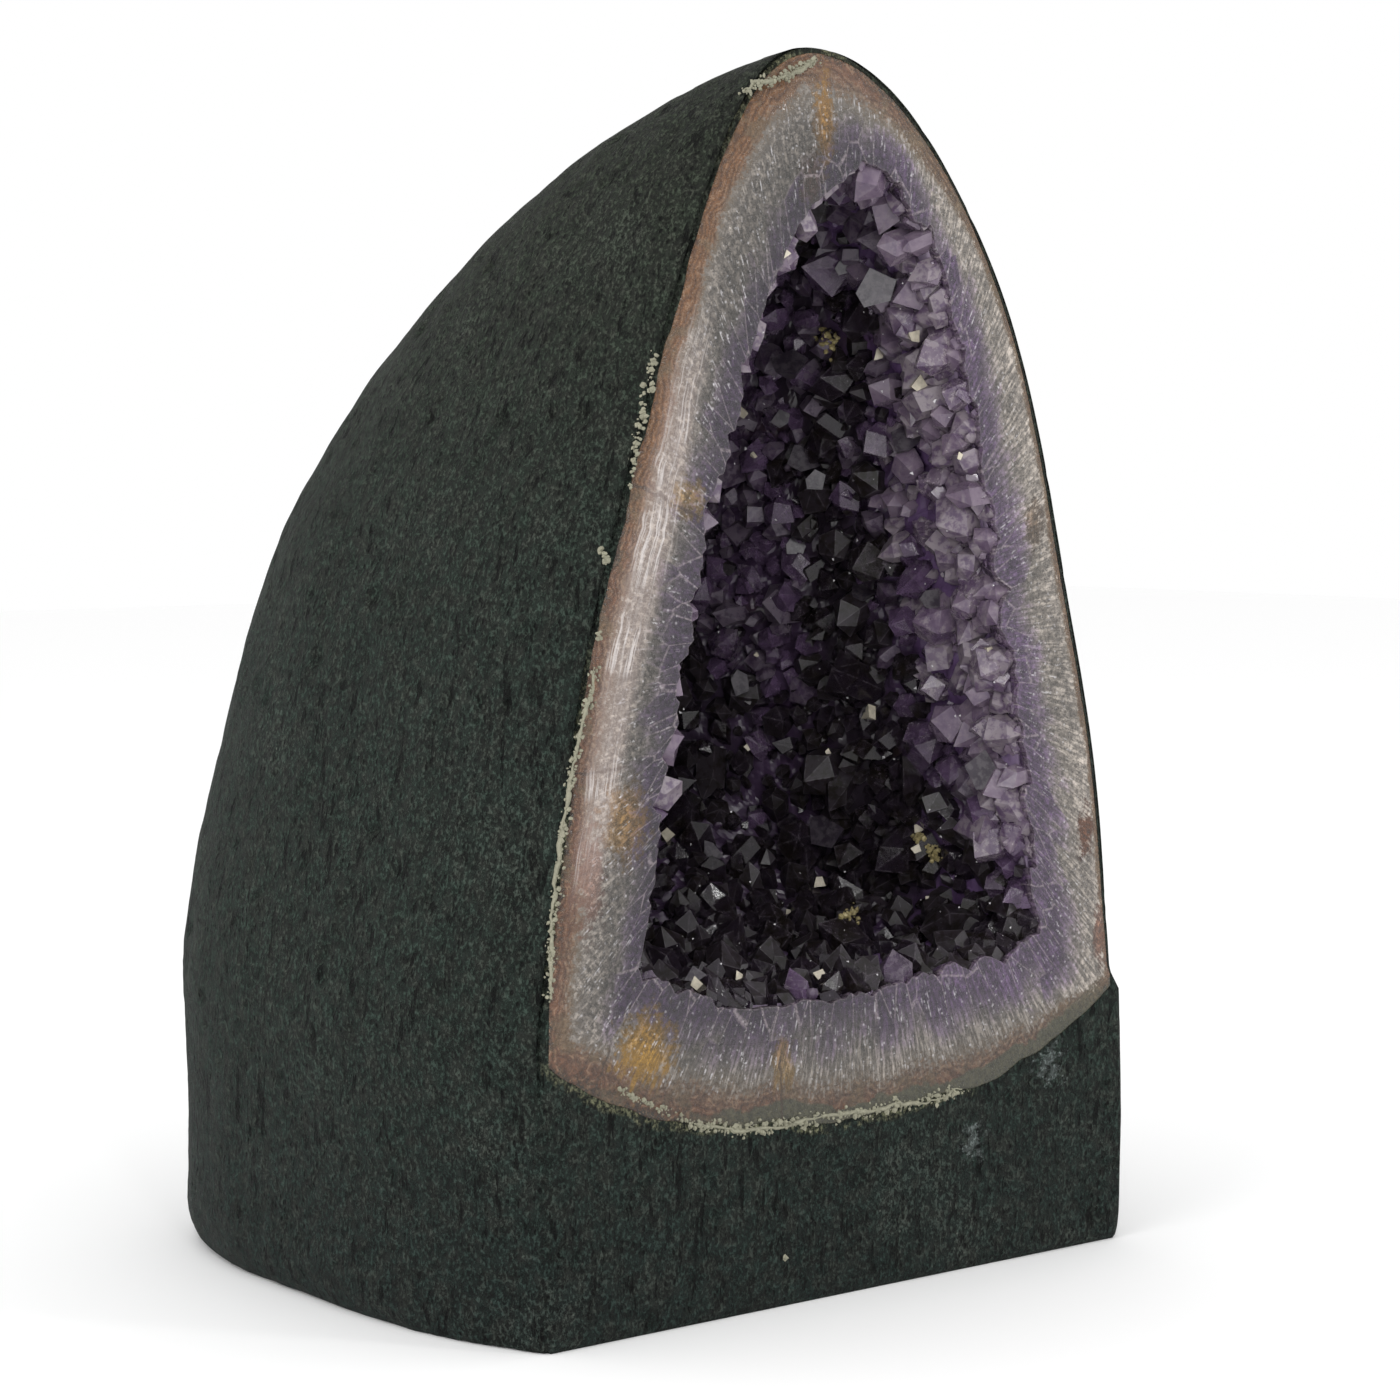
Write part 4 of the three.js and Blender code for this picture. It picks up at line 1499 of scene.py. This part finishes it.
class Mark(Enum):
    """Small things that sit on the crystals, with their piece and where they show in the frame.

    Each place is given in pixels of the 1400 by 1400 frame, with its radius in millimetres.
    """

    # Cream coated faces, and white faces that are painted glints.
    COATED = (
        "coated_and_glint_points",
        (
            (783, 254, 1.5), (915, 335, 1.5), (879, 354, 1.5), (741, 412, 1.6), (919, 383, 2.4),
            (754, 455, 0.9), (806, 552, 1.5), (738, 664, 0.8), (757, 655, 0.7), (873, 712, 2.0),
            (748, 747, 1.3), (828, 753, 1.0), (654, 828, 1.1), (668, 834, 1.7), (820, 884, 1.6),
            (790, 912, 1.0), (698, 985, 2.0), (740, 977, 1.3), (820, 975, 1.5), (919, 828, 1.3),
            (917, 849, 1.2), (990, 649, 0.9), (960, 456, 1.0), (928, 898, 0.8),
        ),
    )
    BROAD = (
        "broad_faces",
        (
            (874, 291, 5.0), (788, 364, 3.8), (761, 376, 2.4), (905, 438, 3.8), (803, 459, 3.6),
            (781, 419, 2.4), (817, 480, 2.8), (807, 632, 3.2), (863, 590, 2.8), (796, 546, 2.4),
            (740, 682, 3.0), (754, 785, 3.4), (824, 830, 4.6), (984, 774, 4.4), (711, 852, 2.6),
            (697, 981, 3.0), (843, 268, 1.6), (930, 600, 2.6),
        ),
    )
    BRASSY = ("brassy_specks", ((934, 853, 2.2), (851, 913, 2.0), (828, 338, 3.4), (918, 838, 1.2)))
    # Painted glints: small bright white grains where the points would catch a lamp.
    GLINTS = (
        "painted_glint_tips",
        (
            (841, 311, 0.45), (935, 401, 0.55), (746, 449, 0.6), (915, 688, 0.5), (884, 757, 0.4),
            (803, 757, 0.4), (941, 836, 0.5), (680, 712, 0.5), (857, 540, 0.4), (912, 473, 0.5),
            (894, 640, 0.4), (776, 520, 0.4),
        ),
    )

    def __init__(self, piece: str, places: tuple[tuple[float, float, float], ...]) -> None:
        """Names the parts of each kind of mark."""
        self.piece = piece
        self.places = np.array(places)


@dataclass(frozen=True)
class Grains:
    """Rough grains, each a lumpy twenty-sided lump pressed into what it sits on."""

    seed: int = 3

    def shapes(self, places: Array, radii: Array) -> tuple[Array, list[Array]]:
        """Corners and faces of one grain at each place.

        Each is an icosahedron, its corners at the cyclic turns of (0, 1, golden ratio), with every corner
        moved in or out and the whole stretched along the axes.
        """
        random = np.random.default_rng(self.seed)
        ratio = 1 + GOLDEN
        signs = np.array(list(itertools.product((-1, 1), repeat=2)))
        flat = np.stack([np.zeros(4), signs[:, 0], signs[:, 1] * ratio], axis=-1)
        ball = unit(np.concatenate([flat, np.roll(flat, 1, axis=1), np.roll(flat, 2, axis=1)]))
        near = np.linalg.norm(ball[:, None] - ball[None], axis=-1) < 1.1
        triples = np.array([t for t in itertools.combinations(range(12), 3) if near[np.ix_(t, t)].all()])
        first, second, third = (ball[triples[:, corner]] for corner in range(3))
        outward = np.einsum("ij,ij->i", np.cross(second - first, third - first), first)
        triples[outward < 0] = triples[outward < 0][:, ::-1]
        lumpy = radii[:, None, None] * ball * random.uniform(0.67, 1.2, (len(places), 12, 1))
        points = places[:, None] + lumpy * random.uniform(0.7, 1.2, (len(places), 1, 3))
        faces = np.arange(len(places))[:, None, None] * 12 + triples
        return points.reshape(-1, 3), [faces.reshape(-1, 3)]


@dataclass(frozen=True)
class Marks:
    """The pale coated faces (partly painted glints), broad clear faces, brassy specks and painted glints."""

    eye: Eye
    crystals: list[bpy.types.Object]
    glints: int = 130
    grains: int = 34
    pixels_a_mm: float = 4.4
    seed: int = 12

    def build(self) -> None:
        """Makes each kind as one piece, where rays through its places first meet the crystals."""
        random = np.random.default_rng(self.seed)
        scattered = random.uniform((670, 180, 0.15), (1030, 990, 0.36), (self.glints, 3))
        finishes = {
            Mark.COATED: (Crumb("coated_and_glint_quartz", (190, 182, 164), roughness=0.35), 4, 0.6),
            Mark.BROAD: (ClearQuartz(Habit.BROAD), 5, 0.8),
            Mark.BRASSY: (Crumb("brassy_mineral", (150, 138, 98), roughness=0.4, metal=0.2), 0, 0.4),
            # Painted glints: bright white grains.
            Mark.GLINTS: (Crumb("painted_glints", (214, 212, 214), roughness=0.2), 3, 0.5),
        }
        for mark, (finish, corners, proud) in finishes.items():
            marks = np.concatenate([mark.places, scattered]) if mark is Mark.GLINTS else mark.places
            if mark is Mark.BRASSY:
                marks = self._clustered(random, marks)
            hits, found = self._strike(marks[:, :2])
            radii = marks[found, 2]
            places = hits - self.eye.rays(marks[found, :2]) * (proud * radii)[:, None]
            if corners:
                points, faces = self._wedges(random, places, radii, corners)
            else:
                points, faces = Grains().shapes(places, radii)
            attributes = {"tone": np.full(len(points), 0.65), "facet": np.ones((len(points), 3))}
            piece = Sculptor.piece(
                mark.piece, points, faces, "amethyst_crust", "amethyst", attributes, smooth=False
            )
            piece.data.materials.append(finish.material())

    def _clustered(self, random: np.random.Generator, clusters: Array) -> Array:
        """Small grains scattered about the middle of each cluster, most of them near it."""
        marks = np.repeat(clusters, self.grains, axis=0)
        marks[:, :2] += random.normal(0, 0.4, (len(marks), 2)) * marks[:, 2:] * self.pixels_a_mm
        marks[:, 2] = random.uniform(0.2, 0.85, len(marks))
        return marks

    def _strike(self, pixels: Array) -> tuple[Array, Array]:
        """Where rays through the frame first meet the crystals, and which of the rays do."""
        body = bmesh.new()
        for item in self.crystals:
            body.from_mesh(item.data)
        tree = BVHTree.FromBMesh(body)
        body.free()
        start = np.array(self.eye.place) * MM
        hits = [tree.ray_cast(start, ray)[0] for ray in self.eye.rays(pixels)]
        found = np.array([hit is not None for hit in hits])
        return np.array([hit for hit in hits if hit is not None]) / MM, found

    def _wedges(
        self, random: np.random.Generator, places: Array, radii: Array, corners: int
    ) -> tuple[Array, list[Array]]:
        """Short points, each turned so that one broad flat face looks out of the hollow.

        The broad face is an uneven polygon of that many corners, and one more corner stands behind it.
        """
        count = len(places)
        outward = unit(np.array([-0.5, -0.82, 0.22]) + random.normal(0, 0.25, places.shape))
        first = unit(np.cross(outward, random.normal(0, 1, places.shape)))
        second = np.cross(outward, first)
        turn = (np.arange(corners) + random.uniform(-0.25, 0.25, (count, corners))) * FULL_TURN / corners
        size = radii[:, None] * random.uniform(0.75, 1.25, (count, corners))
        along_first = (size * np.cos(turn))[..., None] * first[:, None]
        along_second = (size * np.sin(turn))[..., None] * second[:, None]
        front = along_first + along_second
        behind = -2.0 * radii[:, None] * outward
        points = places[:, None] + np.concatenate([front, behind[:, None]], axis=1)
        base = np.arange(count)[:, None] * (corners + 1)
        ring = np.arange(corners)
        sides = np.stack([ring, np.full(corners, corners), (ring + 1) % corners], axis=-1)
        return points.reshape(-1, 3), [base + ring, (base[..., None] + sides).reshape(-1, 3)]


@dataclass(frozen=True)
class Vein:
    """A run of pale mineral on the jacket: its way through the frame in pixels, and its grains."""

    way: tuple[tuple[float, float], ...]
    grains: int
    radii: tuple[float, float]
    spread: float
    line: bool = True


@dataclass(frozen=True)
class MineralSeam:
    """Cream chalcedony that shows where the cement meets the agate, and pale chips on the cement."""

    shape: Shape
    eye: Eye
    veins: tuple[Vein, ...] = (
        Vein(
            ((694, 1124), (740, 1129), (800, 1122), (870, 1111), (925, 1101), (963, 1089)),
            420,
            (0.25, 0.75),
            7.0,
        ),
        Vein(((620, 1090), (652, 1106), (694, 1124)), 90, (0.25, 0.6), 4.5, False),
        Vein(
            ((596, 668), (580, 735), (567, 800), (558, 870), (551, 940), (550, 1000)),
            240,
            (0.25, 0.6),
            5.0,
        ),
        Vein(((744, 93), (762, 82), (788, 75), (802, 68), (814, 60)), 170, (0.25, 0.6), 5.0),
        Vein(((655, 355), (645, 400), (636, 440), (629, 490)), 90, (0.3, 0.8), 5.0, False),
        Vein(((601, 549), (607, 560)), 14, (0.4, 0.9), 3.5, False),
        Vein(((596, 628), (599, 640)), 8, (0.4, 0.7), 2.5, False),
        Vein(((493, 990), (499, 998)), 6, (0.4, 0.7), 2.5, False),
        Vein(((783, 1260), (787, 1256)), 2, (0.7, 1.0), 0.5, False),
    )
    line_radius: float = 0.42
    line_steps: int = 90
    line_sides: int = 6
    seed: int = 17

    def build(self) -> None:
        """Makes the grains and the wavy lines as one piece."""
        random = np.random.default_rng(self.seed)
        places = []
        radii = []
        points = []
        faces = []
        for vein in self.veins:
            way = self._walk(vein, random.uniform(0, 1, vein.grains))
            offset = random.normal(0, vein.spread / 2, way.shape)
            hits, found = self.eye.strike(way + offset, self.shape.sawn)
            places.append(hits)
            sizes = vein.radii[0] + (vein.radii[1] - vein.radii[0]) * random.uniform(0, 1, vein.grains) ** 2
            radii.append(sizes[found])
            if vein.line:
                tube, skin = self._line(vein)
                faces += [block + sum(map(len, points)) for block in skin]
                points.append(tube)
        grains, skin = Grains().shapes(np.concatenate(places), np.concatenate(radii))
        faces += [block + sum(map(len, points)) for block in skin]
        points.append(grains)
        joined = np.concatenate(points)
        piece = Sculptor.piece(
            "chalcedony_seam", joined, faces, "cement_jacket", "painted_cement", {}, smooth=False
        )
        piece.data.materials.append(Crumb("chalcedony", (132, 130, 112)).material())

    def _walk(self, vein: Vein, shares: Array) -> Array:
        """Places in the frame at shares of a vein's way."""
        corners = np.array(vein.way, float)
        known = np.linspace(0, 1, len(corners))
        return np.stack([np.interp(shares, known, corners[:, axis]) for axis in (0, 1)], axis=-1)

    def _line(self, vein: Vein) -> tuple[Array, list[Array]]:
        """A thin wavy thread along a vein: rings of points round its path, drawn in at both ends."""
        shares = np.linspace(0, 1, self.line_steps)
        way = self._walk(vein, shares)
        tall = np.stack([way[:, 1], way[:, 0], np.zeros(self.line_steps)], axis=-1)
        wave = np.stack([soft_noise(tall, 16, 51), soft_noise(tall, 14, 52)], axis=-1) * 3
        ripple = np.stack([soft_noise(tall, 5, 53), soft_noise(tall, 5, 54)], axis=-1) * 1.2
        path, _ = self.eye.strike(way + wave + ripple, self.shape.sawn)
        ahead = unit(np.gradient(path, axis=0))
        side = unit(np.cross(ahead, np.array([0.3, -1.0, 0.2])))
        up = np.cross(side, ahead)
        corner = np.arange(self.line_sides)
        turn = corner * FULL_TURN / self.line_sides
        thick = self.line_radius * np.sin(shares * math.pi) ** 0.2 * (1 + 0.5 * soft_noise(tall, 7, 55))
        ring = np.cos(turn)[None, :, None] * side[:, None] + np.sin(turn)[None, :, None] * up[:, None]
        tube = path[:, None] + ring * thick[:, None, None]
        ends = np.array([corner[::-1], (self.line_steps - 1) * self.line_sides + corner])
        return tube.reshape(-1, 3), [Sculptor.quads(self.line_steps, self.line_sides), ends]


@dataclass(frozen=True)
class Studio:
    """The floor, the soft lights and the camera at the photo's angle."""

    eye: Eye
    floor_reach: float = 3.0
    sky: float = 1.0

    def build(self) -> None:
        """Sets up everything that isn't the geode."""
        self._floor()
        self._sky()
        self._lamp("left_window", (-1.6, -0.3, 0.5), (1.0, 1.2), 10.0)
        self._lamp("front_strip", (-0.62, -1.4, 0.42), (0.12, 1.0), 3.0)
        self._lamp("left_spot", (-0.95, -1.1, 0.95), (0.2, 0.2), 3.2)
        self._lamp("right_spot", (0.75, -1.3, 0.7), (0.14, 0.14), 3.2)
        self._camera()

    def _floor(self) -> None:
        """A flat pale floor."""
        reach = self.floor_reach
        corners = [(-reach, -reach, 0), (reach, -reach, 0), (reach, reach, 0), (-reach, reach, 0)]
        mesh = bpy.data.meshes.new("floor")
        mesh.from_pydata(corners, [], [(0, 1, 2, 3)])
        mesh.materials.append(PaleFloor().material())
        floor = bpy.data.objects.new("floor", mesh)
        bpy.context.scene.collection.objects.link(floor)

    def _sky(self) -> None:
        """Even white light from all round."""
        world = bpy.data.worlds.new("studio")
        world.use_nodes = True
        background = world.node_tree.nodes["Background"]
        background.inputs[0].default_value = (1, 1, 1, 1)
        background.inputs[1].default_value = self.sky
        bpy.context.scene.world = world
        bpy.context.scene.view_settings.view_transform = "Standard"

    def _lamp(
        self, name: str, place: tuple[float, float, float], size: tuple[float, float], power: float
    ) -> None:
        """A panel of light that faces the middle of the geode, with its place and size in metres."""
        lamp = bpy.data.lights.new(name, "AREA")
        lamp.shape = "RECTANGLE"
        lamp.size, lamp.size_y = size
        lamp.energy = power
        item = bpy.data.objects.new(name, lamp)
        item.location = place
        target = np.array([0, 0, 0.13]) - np.array(place)
        flat = math.hypot(target[0], target[1])
        tilt = math.pi / 2 + math.atan2(target[2], flat)
        item.rotation_euler = (tilt, 0, math.atan2(-target[0], target[1]))
        item.visible_camera = False
        bpy.context.scene.collection.objects.link(item)

    def _camera(self) -> None:
        """The camera, which stands to the left of the face and looks a little down."""
        camera = bpy.data.cameras.new("camera")
        camera.lens = self.eye.lens
        camera.sensor_width = self.eye.sensor
        camera.sensor_fit = "HORIZONTAL"
        camera.clip_start = 0.01
        item = bpy.data.objects.new("camera", camera)
        item.location = [part * MM for part in self.eye.place]
        item.rotation_euler = (math.radians(90 - self.eye.dip), 0, -math.radians(self.eye.turn))
        bpy.context.scene.collection.objects.link(item)
        bpy.context.scene.camera = item


def main() -> None:
    """Builds the studio and the geode from the outside in."""
    logging.basicConfig(level=logging.INFO, format="%(message)s")
    shape = Shape()
    eye = Eye()
    Studio(eye).build()
    CementJacket(shape).build()
    PolishedRim(shape).build()
    SawnCrust(shape).build()
    CrystalBed(shape).build()
    Marks(eye, PointField(shape).build()).build()
    MineralSeam(shape, eye).build()


if __name__ == "__main__":
    main()
